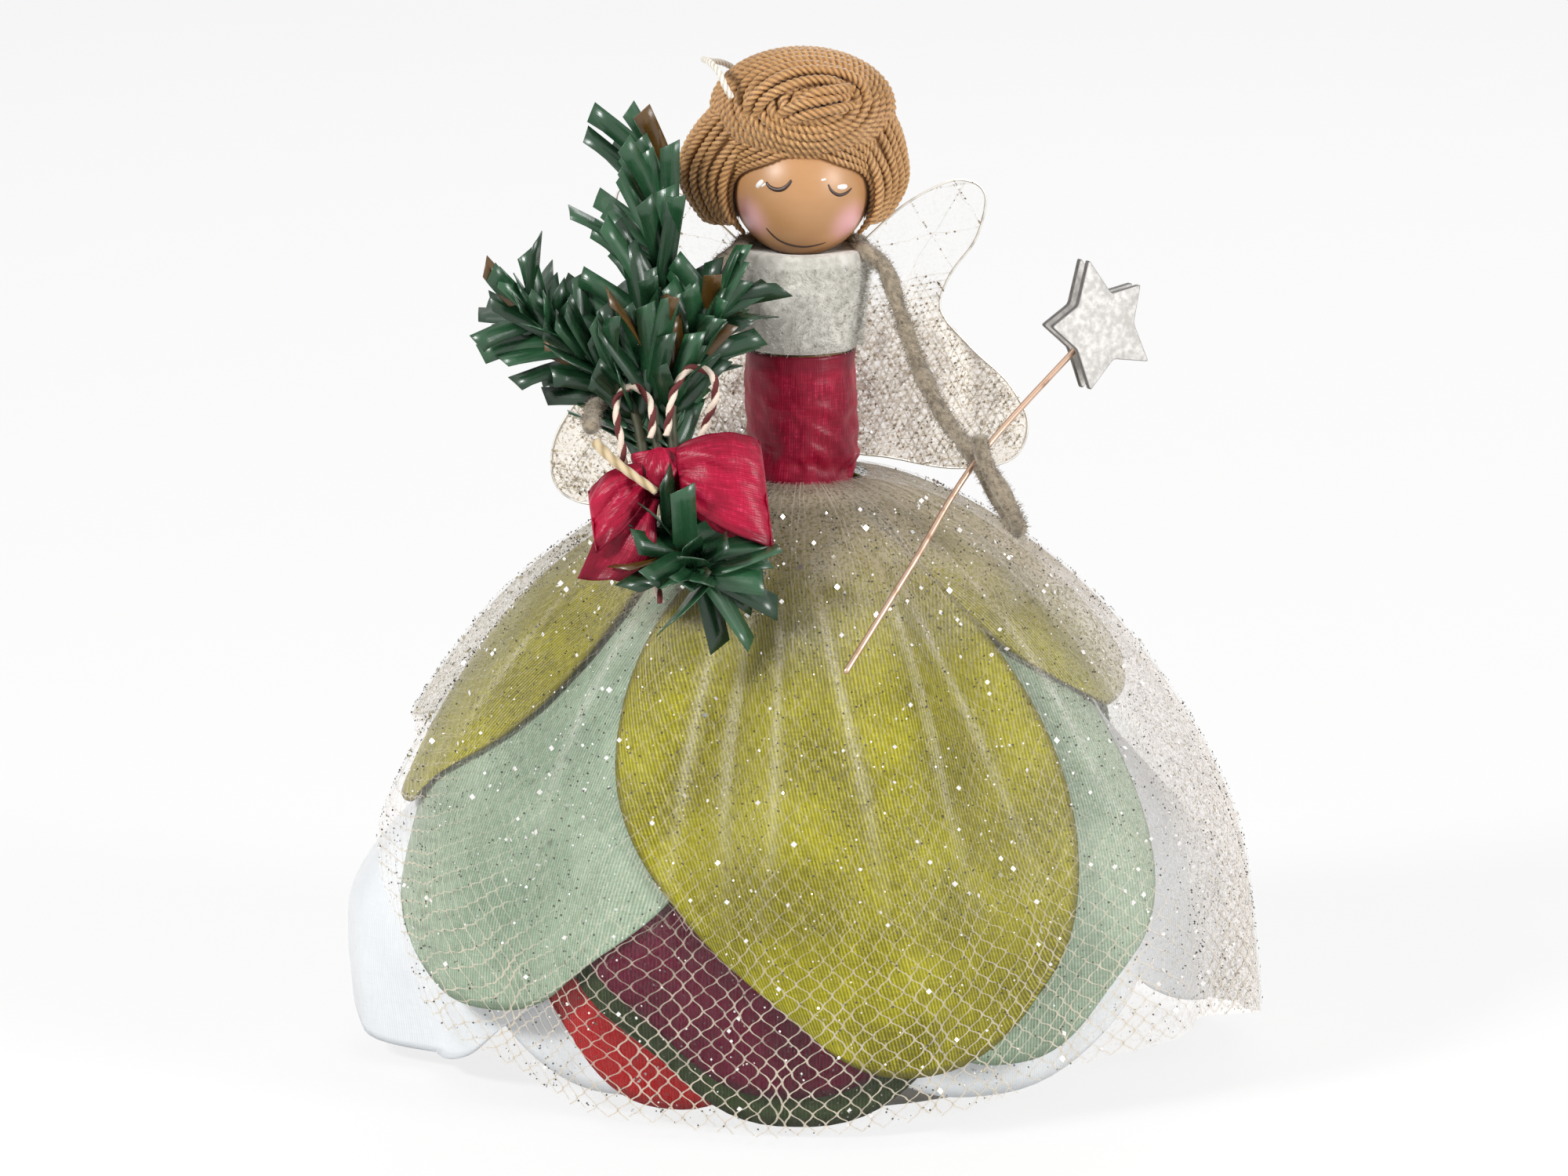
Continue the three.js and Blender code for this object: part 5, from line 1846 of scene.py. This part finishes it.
    def top_knot(self) -> None:
        """Makes the top knot: a strand wound about an axis that leans forward, and loose turns over it."""
        centre = HEAD + Vector((0.2, 0.6, 11.4)) * MM
        size = Vector((13.4, 12.4, 8.7)) * MM
        lean = radians(70)
        axis = Vector((0.1, -sin(lean), cos(lean))).normalized()
        aside = (Vector((1, 0, 0)) - axis * axis.x).normalized()
        up = axis.cross(aside)

        def out(way: Vector, inset: float) -> Vector:
            """The knot's point in a direction, at a depth."""
            return centre + Vector([way[k] * (size[k] - inset) for k in range(3)])

        def place(cone: float, turn: float, inset: float) -> Vector:
            """The knot's point from degrees away from its axis and round it, at a depth."""
            b, t = radians(cone), radians(turn)
            return out(axis * cos(b) + (aside * cos(t) + up * sin(t)) * sin(b), inset)

        def front(a: float, b: float, inset: float) -> Vector:
            """The knot's point as it shows from the front, at a depth."""
            return out(axis * sqrt(1 - a * a - b * b) + aside * a + up * b, inset)

        piece = Piece("top_knot_floss")
        turns = 16
        points = []
        for k in range(turns * 30 + 1):
            share = k / (turns * 30)
            wobble = 1.6 * sin(share * 47)
            points.append(place(6 + 134 * share + wobble * share, 360 * share * turns, self.strand))
        wind(piece, points, lambda u: 0.86 * MM, self.floss, 0.34 * MM)
        for marks, lift in (
            (((-0.72, -0.5), (-0.6, 0.02), (-0.3, 0.36), (0.1, 0.46), (0.5, 0.3), (0.74, -0.1)), 0.7),
            (((-0.66, -0.5), (-0.5, -0.02), (-0.2, 0.24), (0.2, 0.3), (0.56, 0.12)), 0.5),
            (((-0.5, -0.42), (-0.2, -0.12), (0.2, 0.02), (0.6, 0.2)), 0.5),
            (((-0.45, -0.52), (-0.1, -0.26), (0.25, -0.14), (0.66, 0.02)), 0.4),
            (((-0.36, -0.25), (0.0, 0.08), (0.3, 0.16), (0.5, 0.3)), 0.9),
        ):
            last = len(marks) - 1
            way = [front(a, b, (1.4 if i in (0, last) else -lift) * MM) for i, (a, b) in enumerate(marks)]
            wind(piece, way, lambda u: 0.78 * MM, self.floss, 0.3 * MM)

        def under(u: float, v: float) -> Vector:
            """A point of the core of painted shade under the strands."""
            return place(mix(3, 150, v), 360 * u, 1.4 * self.strand)

        # Painted shade: the core's tone of 0.4 makes it dark.
        piece.lay(40, 24, under, None, lambda u, v: 0.4)
        piece.done(Tint.FLOSS, "hair_top_knot")

    def build(self) -> None:
        """Makes the bead and all the hair."""
        self.skull()
        self.hank("hair_left", -1, 8.0 * MM, 4.8 * MM, 22)
        self.hank("hair_right", 1, 5.6 * MM, 3.2 * MM, 19)
        self.back()
        self.hood()
        self.top_knot()


@dataclass
class Arms:
    """The chenille arms, the stem behind the neck that they hang from and the cream hand tip."""

    stem: float = 1.3 * MM
    tip: float = 0.8 * MM

    def start(self, side: int) -> list[tuple[float, float, float]]:
        """The first points of an arm."""
        return [(side * 8.516, -1.847, 0), (side * 8.716, -3.047, 0), (side * 11.8, -5.4, -2)]

    def woolly(self, node: str, route: Sequence[Sequence[float]], fibres: int, seed: int) -> None:
        """Makes one length of chenille with its fibres.

        Args:
            node: Its node.
            route: The points that it goes through, in millimetres from the shoulders.
            fibres: How many loose fibres it has.
            seed: The seed of their spread.
        """
        core = Piece(f"{node}_core")

        def radius(u: float) -> float:
            """The stem's radius, which swells and thins along it."""
            return self.stem * (0.9 + 0.08 * sin(60 * u) + 0.06 * sin(23 * u))

        line = wind(core, in_mm(route, SHOULDER), radius, None, 0.4 * MM, 12)
        core.done(Tint.CHENILLE, node)
        chance = random.Random(seed)

        def root(_: int) -> tuple[Vector, Vector]:
            """Where a fibre starts and the way out there."""
            share, turn = chance.random(), chance.uniform(0, 2 * pi)
            spot = line.frame(share)[0]
            edge = line.ring(share, turn, self.stem * 0.85)
            return edge, (edge - spot).normalized()

        nap = Piece(f"{node}_fibres")
        fuzz(nap, fibres, root, 1.0 * MM, seed + 1)
        nap.done(Tint.CHENILLE, node, replaces=False)

    def build(self) -> None:
        """Makes the stem, both arms and the hand tip."""
        turns = [radians(mix(-98, 98, i / 16)) for i in range(17)]
        self.woolly("shoulder_stem", [(8.6 * sin(a), 8.6 * cos(a), 0) for a in turns], 1100, 11)
        grip = Vector(GRIP)
        behind = grip + Vector((-0.35, 0.93, 0.1)) * 2.45
        before = grip + Vector((0.4, -0.9, -0.1)) * 2.45
        wand_arm = [
            *self.start(1), (14, -7.4, -7.8), (17, -11, -16), (20.6, -15.4, -22.4), behind,
            (27.4, -21.4, -31.4), (29.6, -22.6, -35.4), (31, -24.4, -36.8), (30.6, -26, -35),
            (28.8, -26, -31.4), before, (25.2, -26, -22.8),
        ]
        self.woolly("wand_arm", wand_arm, 4200, 21)
        posy_arm = [
            *self.start(-1), (-14.4, -8.8, -9), (-17.4, -13.6, -15.4), (-21.4, -17.6, -17.8),
            (-26.2, -19.4, -18.4), (-29.6, -23.2, -19.4), (-30, -28, -21.6),
        ]
        self.woolly("posy_arm", posy_arm, 2800, 31)
        hand = [(-29.4, -30.6, -22.8), (-26.6, -33.4, -25), (-20.4, -35.4, -29.2)]
        piece = Piece("posy_hand_cord")
        wind(piece, in_mm(hand, SHOULDER), lambda u: self.tip * (1 - 0.25 * u), Ply(2, 5 * MM, 0.12))
        piece.done(Tint.CREAM_CORD, "posy_hand")


@dataclass
class Wand:
    """The bent wire and the star's two felt layers."""

    wire: float = 0.45 * MM
    tip: float = 9.0 * MM
    notch: float = 5.0 * MM
    felt: float = 1.2 * MM

    def build(self) -> None:
        """Makes the wire and both star layers."""
        foot, grip, star = in_mm([(6, -48, -52.8), GRIP, (42.3, -14, -9.2)], SHOULDER)
        piece = Piece("wand_wire_drawn")
        wind(piece, [foot, (foot + grip) / 2, grip, star], lambda u: self.wire, None, 0.5 * MM, 10)
        piece.done(Tint.COPPER, "wand_wire")
        shaft = (star - grip).normalized()
        facing = Vector((0.42, -0.9, 0.1))
        facing = (facing - shaft * facing.dot(shaft)).normalized()
        basis = Matrix((shaft.cross(facing), shaft, facing)).transposed()
        self.layer("wand_star_front", star, basis, 0.8 * MM)
        self.layer("wand_star_back", star, basis, -2.0 * MM)

    def layer(self, node: str, centre: Vector, basis: Matrix, lift: float) -> None:
        """Makes one layer of the star.

        Args:
            node: Its node.
            centre: The star's centre.
            basis: Its own directions.
            lift: How far along its facing direction it starts.
        """
        rim = 0.3 * MM / self.tip
        profile = (
            (0, 0, 0), (0.5, 0, 0), (1 - rim, 0, 0), (1, 0.12, 1),
            (1, 0.88, 1), (1 - rim, 1, 0), (0.5, 1, 0), (0, 1, 0),
        )
        tips = ((0, 0.94), (80, 1.0), (146, 1.03), (227, 0.88), (302, 1.12))

        def corner(index: int) -> Vector:
            """A tip of the star, or the notch after it."""
            turn, reach = tips[index // 2 % 5]
            if index % 2:
                after = tips[(index // 2 + 1) % 5][0]
                turn = turn + (after - turn) % 360 / 2
            reach = self.notch if index % 2 else self.tip * reach
            turn = radians(turn)
            return Vector((reach * sin(turn), reach * cos(turn), 0))

        def edge(share: float) -> Vector:
            """The star's edge at a share of its way round, with blunt corners."""
            place = share * 10
            index = int(place) % 10
            part = place - int(place)
            blunt = 0.08
            if part < blunt or part > 1 - blunt:
                middle = index if part < blunt else index + 1
                before = corner(middle - 1).lerp(corner(middle), 1 - blunt)
                after = corner(middle).lerp(corner(middle + 1), blunt)
                swing = part / blunt * 0.5 + 0.5 if part < blunt else (part - 1 + blunt) / blunt * 0.5
                return before.lerp(corner(middle), swing).lerp(corner(middle).lerp(after, swing), swing)
            return corner(index).lerp(corner(index + 1), part)

        def place(u: float, v: float) -> Vector:
            """The layer's point: the edge drawn in and raised by the profile."""
            scale, height, _ = profile[round(v * (len(profile) - 1))]
            flat = edge(u) * scale
            flat.z = lift + self.felt * height
            return centre + basis @ flat

        piece = Piece(f"{node}_felt")
        rows = len(profile) - 1
        piece.lay(200, rows, place, None, lambda u, v: profile[round(v * rows)][2], weld=True)
        piece.done(Tint.STAR, node, outwards=True)


@dataclass
class Wings:
    """Two wire outlines filled with crinkled glitter net."""

    root: Vector
    sweep: float = 14.0
    wire: float = 0.2 * MM
    thread: float = 0.16 * MM
    spacing: float = 1.0 * MM
    flakes: int = 1900

    def outline(self, side: int) -> list[Vector]:
        """The wing's outline in its own plane; the left wing's lower lobe is the larger one.

        Args:
            side: -1 for the left and 1 for the right.

        Returns:
            The outline in even steps.
        """
        lobe = [(29.6, -23.8), (32.4, -29.8), (30.4, -34.6), (22, -35.8), (12, -33.8)]
        if side < 0:
            lobe = [(31, -25), (35.6, -33), (35, -39.4), (29.6, -41.6), (21, -37.6), (11.5, -33.8)]
        marks = [
            (0, -7), (6.5, -2.2), (14.5, 4.2), (22, 7), (25.6, 5.2), (24.6, -1.4), (20.4, -7.2), (19, -11.8),
            (23.6, -17.8), *lobe, (3.2, -31.4), (0, -23),
        ]
        points = [Vector((x, 0, z)) * MM for x, z in marks]
        around = Route([*points[-3:], *points, *points[:3]], 600)
        first = min(range(200), key=lambda i: (around.spots[i] - points[0]).length)
        last = min(range(400, 601), key=lambda i: (around.spots[i] - points[0]).length)
        return around.spots[first : last + 1]

    def crinkle(self, x: float, z: float) -> float:
        """How far the net stands out of its plane."""
        coarse = 0.9 * MM * noise.noise(Vector((x * 190, 3.1, z * 190)))
        return coarse + 0.5 * MM * noise.noise(Vector((x * 480, 9.2, z * 480)))

    def world(self, side: int, x: float, y: float, z: float) -> Vector:
        """A point of the wing in the ornament's frame.

        Args:
            side: -1 for the left and 1 for the right.
            x: How far out it is.
            y: How far it stands out of the wing's plane.
            z: How high it is.

        Returns:
            The point.
        """
        a = radians(self.sweep)
        turned = Vector((side * (x * cos(a) - y * sin(a)), x * sin(a) + y * cos(a), z))
        return SHOULDER + Vector((side * self.root.x, self.root.y, 0)) + turned

    def lines(self, edge: list[Vector], seed: int) -> list[tuple[Vector, Vector]]:
        """The net's threads, cut to the outline: close together below and far apart above.

        Args:
            edge: The outline.
            seed: The seed of their spread.

        Returns:
            The ends of each thread, the lower one first.
        """
        chance = random.Random(seed)
        made = []
        for slant in (58, -58, 8):
            way = Vector((cos(radians(slant)), 0, sin(radians(slant))))
            aside = Vector((-way.z, 0, way.x))
            low, high = min(p.dot(aside) for p in edge), max(p.dot(aside) for p in edge)
            for i in range(int((high - low) / self.spacing)):
                offset = low + (i + chance.uniform(0.2, 0.8)) * self.spacing
                cuts = []
                for p, q in zip(edge, edge[1:]):
                    a, b = p.dot(aside) - offset, q.dot(aside) - offset
                    if (a < 0) != (b < 0):
                        cuts.append(p.lerp(q, a / (a - b)).dot(way))
                cuts.sort()
                for t0, t1 in zip(cuts[::2], cuts[1::2]):
                    ends = [aside * offset + way * t for t in (t0, t1)]
                    ends.sort(key=lambda p: p.z)
                    roof = chance.uniform(-11, -6) * MM
                    if i % 7 and ends[1].z > roof and abs(ends[1].z - ends[0].z) > 1e-5:
                        if ends[0].z > roof:
                            continue
                        ends[1] = ends[0].lerp(ends[1], (roof - ends[0].z) / (ends[1].z - ends[0].z))
                    made.append((ends[0], ends[1]))
        return made

    def wing(self, name: str, side: int) -> None:
        """Makes one wing.

        Args:
            name: Which one.
            side: -1 for the left and 1 for the right.
        """
        edge = self.outline(side)
        frame_wire = Piece(f"wing_{name}_wire")
        marks = [self.world(side, p.x, 0.0, p.z) for p in edge[::6]]
        wind(frame_wire, marks, lambda u: self.wire, None, 0.5 * MM, 8)
        frame_wire.done(Tint.SILVER, f"wing_wire_{name}")
        hub = Vector((12, 0, -12)) * MM
        last = len(edge) - 1

        def film_place(u: float, v: float) -> Vector:
            """The film's point, from shares round the outline and out to it."""
            p = hub.lerp(edge[round(u * last)], v)
            return self.world(side, p.x, self.crinkle(p.x, p.z) * (1 - v**6), p.z)

        def film_tone(u: float, v: float) -> float:
            """How dense the film is there."""
            return self.cover(hub.lerp(edge[round(u * last)], v).z)

        film = Piece(f"wing_{name}_veil")
        film.lay(90, 24, film_place, None, film_tone, weld=True)
        veil = film.done(Tint.WING_HAZE, f"wing_net_{name}")
        threads = self.lines(edge, 40 + side)
        net = Piece(f"wing_{name}_threads")

        def thread_place(index: int, u: float, v: float) -> Vector:
            """A thread's point, from its number and shares across and along."""
            low, high = threads[index]
            way = (high - low).normalized()
            p = low.lerp(high, v)
            bend = noise.noise(Vector((p.x * 500, index * 0.7, p.z * 500))) * 0.7 * MM * sin(pi * v)
            p = p + Vector((-way.z, 0, way.x)) * (bend + (u - 0.5) * self.thread)
            return self.world(side, p.x, self.crinkle(p.x, p.z) - 0.1 * MM, p.z)

        def thread_tone(index: int, v: float) -> float:
            """A thread's tone, fainter in the thin upper part."""
            low, high = threads[index]
            return 0.35 + 0.65 * self.cover(mix(low.z, high.z, v))

        net.strips(len(threads), 1, 16, thread_place, tone=thread_tone)
        strands = net.done(Tint.WING_TULLE, f"wing_net_{name}", replaces=False)
        sparkle = self.sparkle(name, side, threads)
        heights = [p.z for p in edge]
        flat = (max(p.x for p in edge), max(heights) - min(heights))
        declare_sheet(veil, flat, "stretched", [f"wing_wire_{name}"], with_pieces=[strands, sparkle])

    @staticmethod
    def cover(z: float) -> float:
        """How dense the net is at a height: thin above and close below."""
        return 0.08 + 0.92 * (1 - smooth(z, -17 * MM, -5 * MM))

    def sparkle(self, name: str, side: int, threads: list[tuple[Vector, Vector]]) -> bpy.types.Object:
        """The glitter on a wing's threads.

        Args:
            name: Which wing.
            side: -1 for the left and 1 for the right.
            threads: The ends of each thread.

        Returns:
            The glitter.
        """
        chance = random.Random(60 + side)
        flakes = []
        for _ in range(self.flakes):
            low, high = chance.choice(threads)
            p = low.lerp(high, chance.random())
            face = any_way(chance).normalized()
            bright = chance.random() < 0.35
            spot = self.world(side, p.x, self.crinkle(p.x, p.z) - 0.2 * MM, p.z)
            flakes.append((spot, face, chance.uniform(0.15, 0.36) * MM, 0.9 if bright else 0.1))
        piece = Piece(f"wing_{name}_glitter")
        lay_flakes(piece, flakes)
        return piece.done(Tint.WING_FLAKES, f"wing_net_{name}", replaces=False)

    def build(self) -> None:
        """Makes both wings."""
        self.wing("left", -1)
        self.wing("right", 1)


@dataclass(frozen=True)
class Sprig:
    """One pine sprig: its stem's route, its strips and which of them are kept."""

    node: str
    route: tuple[tuple[float, float, float], ...]
    strips: int
    length: float
    spread: float
    keep: Callable[[Vector, Vector], bool]
    wide: float = 1.0
    flare: float = 0.0


@dataclass
class Posy:
    """Pine sprigs tied with a satin bow."""

    stem: float = 0.8 * MM
    strip: float = 2.8 * MM
    ribbon: float = 0.3 * MM
    knot_y: float = -4.0 * MM

    def local(self, x: float, y: float, z: float) -> Vector:
        """A point of the posy in the ornament's frame, from metres."""
        return POSY_PLACE + POSY_TURN @ Vector((x, y, z))

    @staticmethod
    def clear_of_hair(p: Vector, way: Vector) -> bool:
        """Whether a strip of the tall sprig stays clear of the hair and the bare stems."""
        outward = -0.15 if p.z > 24 and way.y > -0.25 else 0.3
        return (p.z > 9 or (p.z > 1 and way.y > 0.0)) and way.x < outward

    def sprigs(self) -> list[Sprig]:
        """The four sprigs, in millimetres and degrees."""
        return [
            Sprig(
                "pine_sprig_tall",
                ((0, 0, -7), (0, 0, 3), (0.6, 0, 16), (4.4, 1, 31), (7, 2.2, 43)),
                strips=190, length=14, spread=46, keep=self.clear_of_hair,
            ),
            Sprig(
                "pine_sprig_left",
                ((-2.15, 0, -7), (-2.15, 0, 3), (-3.15, 0, 11), (-9, -1, 19), (-16, -2, 25)),
                strips=110, length=10.5, spread=38,
                keep=lambda p, w: (p.z > 8 or (p.z > 1 and w.y > 0.0)) and w.x < 0.6,
            ),
            Sprig(
                "pine_sprig_right",
                ((2.15, 0, -7), (2.15, 0, 3), (3.15, -0.5, 11), (8, -1, 19), (10.5, -1, 24)),
                strips=110, length=9.5, spread=38,
                keep=lambda p, w: (p.z > 8 or (p.z > 1 and w.y > 0.0)) and w.x > -0.7,
            ),
            Sprig(
                "pine_sprig_foot",
                ((0.5, -0.2, -7.6), (1.5, -1.5, -11), (3.5, -4.2, -14.5), (5, -6.4, -17)),
                strips=36, length=10, spread=58, wide=1.3, flare=60,
                keep=lambda p, w: p.z < -7.7 and w.y < 0.25,
            ),
        ]

    def sprig(self, plan: Sprig) -> None:
        """Makes one sprig.

        Args:
            plan: Its measures.
        """
        line = Route([Vector(p) for p in plan.route], 240)
        stalk = Piece(f"{plan.node}_stem")
        wind(stalk, [self.local(*(p * MM)) for p in line.spots[::12]], lambda u: self.stem, None, 0.5 * MM, 8)
        stalk.done(Tint.STEM, plan.node)
        made = []
        for i in range(plan.strips):
            share = (i + 0.5) / plan.strips
            k = round(share * 240)
            root, along = line.spots[k], line.ahead[k]
            turn = 2.4 * i + scatter(i)
            aside = Vector((cos(turn), sin(turn), 0))
            aside = (aside - along * aside.dot(along)).normalized()
            spread = radians(plan.spread + plan.flare * (1 - share) ** 2 + 34 * (scatter(i + 40) - 0.5))
            way = along * cos(spread) + aside * sin(spread)
            if not plan.keep(root, way):
                continue
            lift = aside * cos(spread) - along * sin(spread)
            reach = plan.length * (0.8 + 0.4 * scatter(i + 90))
            tone = 0.97 if scatter(i + 17 + plan.length) > 0.95 else 0.8 * scatter(i + 5)
            across = way.cross(lift)
            shown = Vector((0.0, -1.0, 0.45))
            roll = atan2(-shown.dot(across), shown.dot(lift)) + (scatter(i + 63) - 0.5) * 1.3
            twist = (scatter(i + 77) - 0.5) * 0.9
            made.append((root, way, lift, reach, tone, 0.24 * scatter(i + 31) - 0.04, roll, twist))

        def place(index: int, u: float, v: float) -> Vector:
            """A strip's point, from its number and shares across and along."""
            root, way, lift, reach, _, curl, roll, twist = made[index]
            turn = roll + twist * v
            cross = way.cross(lift)
            side = cross * cos(turn) + lift * sin(turn)
            face = lift * cos(turn) - cross * sin(turn)
            wide = plan.wide * self.strip / MM * (0.45 + 0.55 * smooth(v, 0, 0.22))
            spot = root + way * reach * v + lift * curl * reach * v * v
            spot = spot + side * (u - 0.5) * wide + face * 0.1 * (1 - abs(2 * u - 1))
            spot += way * (u - 0.5) * 1.4 * (v > 0.99)
            return self.local(*(spot * MM))

        leaves = Piece(f"{plan.node}_strips")
        span = (self.strip, plan.length * MM)
        leaves.strips(len(made), 2, 5, place, span, lambda index, v: made[index][4])
        green = leaves.done(Tint.PINE, plan.node, replaces=False)
        thicken(green, 0.16 * MM)

    def ribbon_loop(
        self, name: str, side: int, reach: float, fall: float, drop: float, swell: float, width: float
    ) -> None:
        """Makes one loop of the bow.

        Args:
            name: Its node.
            side: -1 for the left and 1 for the right.
            reach: How far it stands out from the knot.
            fall: How far it hangs at its end.
            drop: How far it starts below the knot's middle.
            swell: How far it opens.
            width: How wide the ribbon is.
        """
        opening = 0.18 * pi
        lip = (swell * sin(opening) - 0.5) / 1.9
        seat = 2.6 * sqrt(1 - lip * lip) + 0.35 - reach * (1 - cos(opening)) / 2

        def place(u: float, v: float) -> Vector:
            """The ribbon's point, from shares across and along it."""
            turn = mix(opening, 2 * pi - opening, v)
            out = (1 - cos(turn)) / 2
            full = sin(turn / 2)
            pleat = 0.6 * sin(13 * u + 2 * out) * (1 - 0.4 * full)
            pleat = pleat + 0.6 * sin(6 * u + 1.3 - out) * full
            drawn = Vector((5 * u + 2 * out, 2 * out, side * 3.0 + 5 * (turn > pi)))
            pleat += 0.5 - 1.2 * abs(noise.noise(drawn))
            depth = -(swell + 0.2) * sin(turn) + pleat * copysign(1, sin(turn))
            across = (2 * u - 1) * mix(2, width / 2, full)
            sag = fall * out + 0.8 * sin(3 * u + 4 * out) * out
            ahead = side * (seat + reach * out) * MM
            return self.local(ahead, self.knot_y + depth * MM, (across - drop - sag) * MM)

        length = 2.2 * reach * MM

        def flat(u: float, v: float) -> tuple[float, float]:
            """The place on the flat ribbon."""
            return (u * width * MM, v * length)

        piece = Piece(f"{name}_satin")
        piece.lay(36, 64, place, flat, lambda u, v: min(1.0, min(u, 1 - u) * width / 2.2))
        made = piece.done(Tint.RIBBON, name)
        cut = (width * MM, max(length, cloth_area(made) / (width * MM)))
        declare_sheet(made, cut, "folded", ["bow_knot"])
        thicken(made, self.ribbon)

    def tail(self) -> None:
        """Makes the bow's tail, cut to a point at its end."""

        def place(u: float, v: float) -> Vector:
            """The tail's point, from shares across and along it."""
            across = (2 * u - 1) * mix(1.6, 4.2, smooth(v, 0, 0.5))
            curl = 1.6 * sin(1.4 * pi * v) + 0.5 * sin(9 * u + 2 * v)
            out = 2.08 + 8.0 * v
            down = 3.6 + 12.6 * v - 3.4 * v**3 * u
            depth = self.knot_y + (0.85 - curl) * MM
            return self.local((0.84 * across - out) * MM, depth, (-0.54 * across - down) * MM)

        def edge(u: float, v: float) -> float:
            """The tone, dark at the cut edges."""
            return min(1.0, min(u, 1 - u, 1 - v) * 4)

        piece = Piece("bow_tail_satin")
        piece.lay(20, 32, place, lambda u, v: (u * 8 * MM, v * 16 * MM), edge)
        made = piece.done(Tint.RIBBON, "bow_tail")
        declare_sheet(made, (10 * MM, 17 * MM), "hung", ["bow_knot"])
        thicken(made, self.ribbon)

    def ties(self) -> None:
        """Makes the band round the stems and the knot in front of it."""

        def band(u: float, v: float) -> Vector:
            """The band's point, from shares round and along the stems."""
            angle = 2 * pi * u
            wrinkle = 0.25 * sin(11 * v + 2 * angle) + 0.12 * sin(23 * v)
            swell = 0.3 + wrinkle * 0.6
            x, y = (3.4 + swell) * sin(angle), (1.25 + swell) * cos(angle)
            return self.local(x * MM, y * MM, mix(-3.5, 3.5, v) * MM)

        piece = Piece("bow_band_satin")
        piece.lay(60, 24, band, lambda u, v: (v * 7 * MM, u * 17 * MM), None, weld=True)
        made = piece.done(Tint.RIBBON, "bow_band")
        thicken(made, self.ribbon)

        def knot(u: float, v: float) -> Vector:
            """The knot's point, from shares round and down it."""
            angle, polar = 2 * pi * u, mix(0, pi, v)
            crease = 1 + 0.07 * sin(7 * angle + 3 * sin(2 * polar)) * sin(polar)
            x, y = 2.6 * sin(polar) * sin(angle), 1.9 * sin(polar) * cos(angle)
            return self.local(x * crease * MM, self.knot_y + y * crease * MM, 3.2 * cos(polar) * MM)

        ball = Piece("bow_knot_satin")
        ball.lay(48, 32, knot, lambda u, v: (u * 14 * MM, v * 9 * MM), None, weld=True)
        ball.done(Tint.RIBBON, "bow_knot", outwards=True)

    def build(self) -> None:
        """Makes the sprigs, the bow and its ties."""
        for plan in self.sprigs():
            self.sprig(plan)
        self.ribbon_loop("bow_loop_right", 1, 13.0, 4.5, 1.0, 3.0, 17.0)
        self.ribbon_loop("bow_loop_left", -1, 8.5, 5.0, 1.5, 2.4, 10.0)
        self.tail()
        self.ties()


def dress_hidden() -> None:
    """Gives the frame's own nodes that stay in view their finishes."""
    for node, finish in (("skirt_cone", Tint.CARD), ("torso_peg", Tint.PEG), ("neck_wire", Tint.STEEL)):
        for slot in frame["nodes"][node].material_slots:
            slot.material = finish.value.material()


def main() -> None:
    """Builds the ornament's pieces in order, then writes its size."""
    logging.basicConfig(level=logging.INFO, format="%(message)s")
    cad_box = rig.bounds()
    middle = Vector((-2.5, 0, 68.8)) * MM
    studio = Studio(middle, distance=1.5, elevation=CAMERA_TILT, view_width=0.228)
    studio.camera()
    cords = Cords()
    cords.hanger()
    cords.twine()
    Skirt(Bell()).build()
    Torso().build()
    Head().build()
    Arms().build()
    Wand().build()
    Wings(Vector((1.8, 10.03, 0)) * MM).build()
    Posy().build()
    dress_hidden()
    studio.floor()
    studio.lights()
    boxes = {"cad": [list(c) for c in cad_box], "visual": [list(c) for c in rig.bounds()]}
    with open("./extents.json", "w") as out:
        json.dump(boxes, out)


if __name__ == "__main__":
    main()
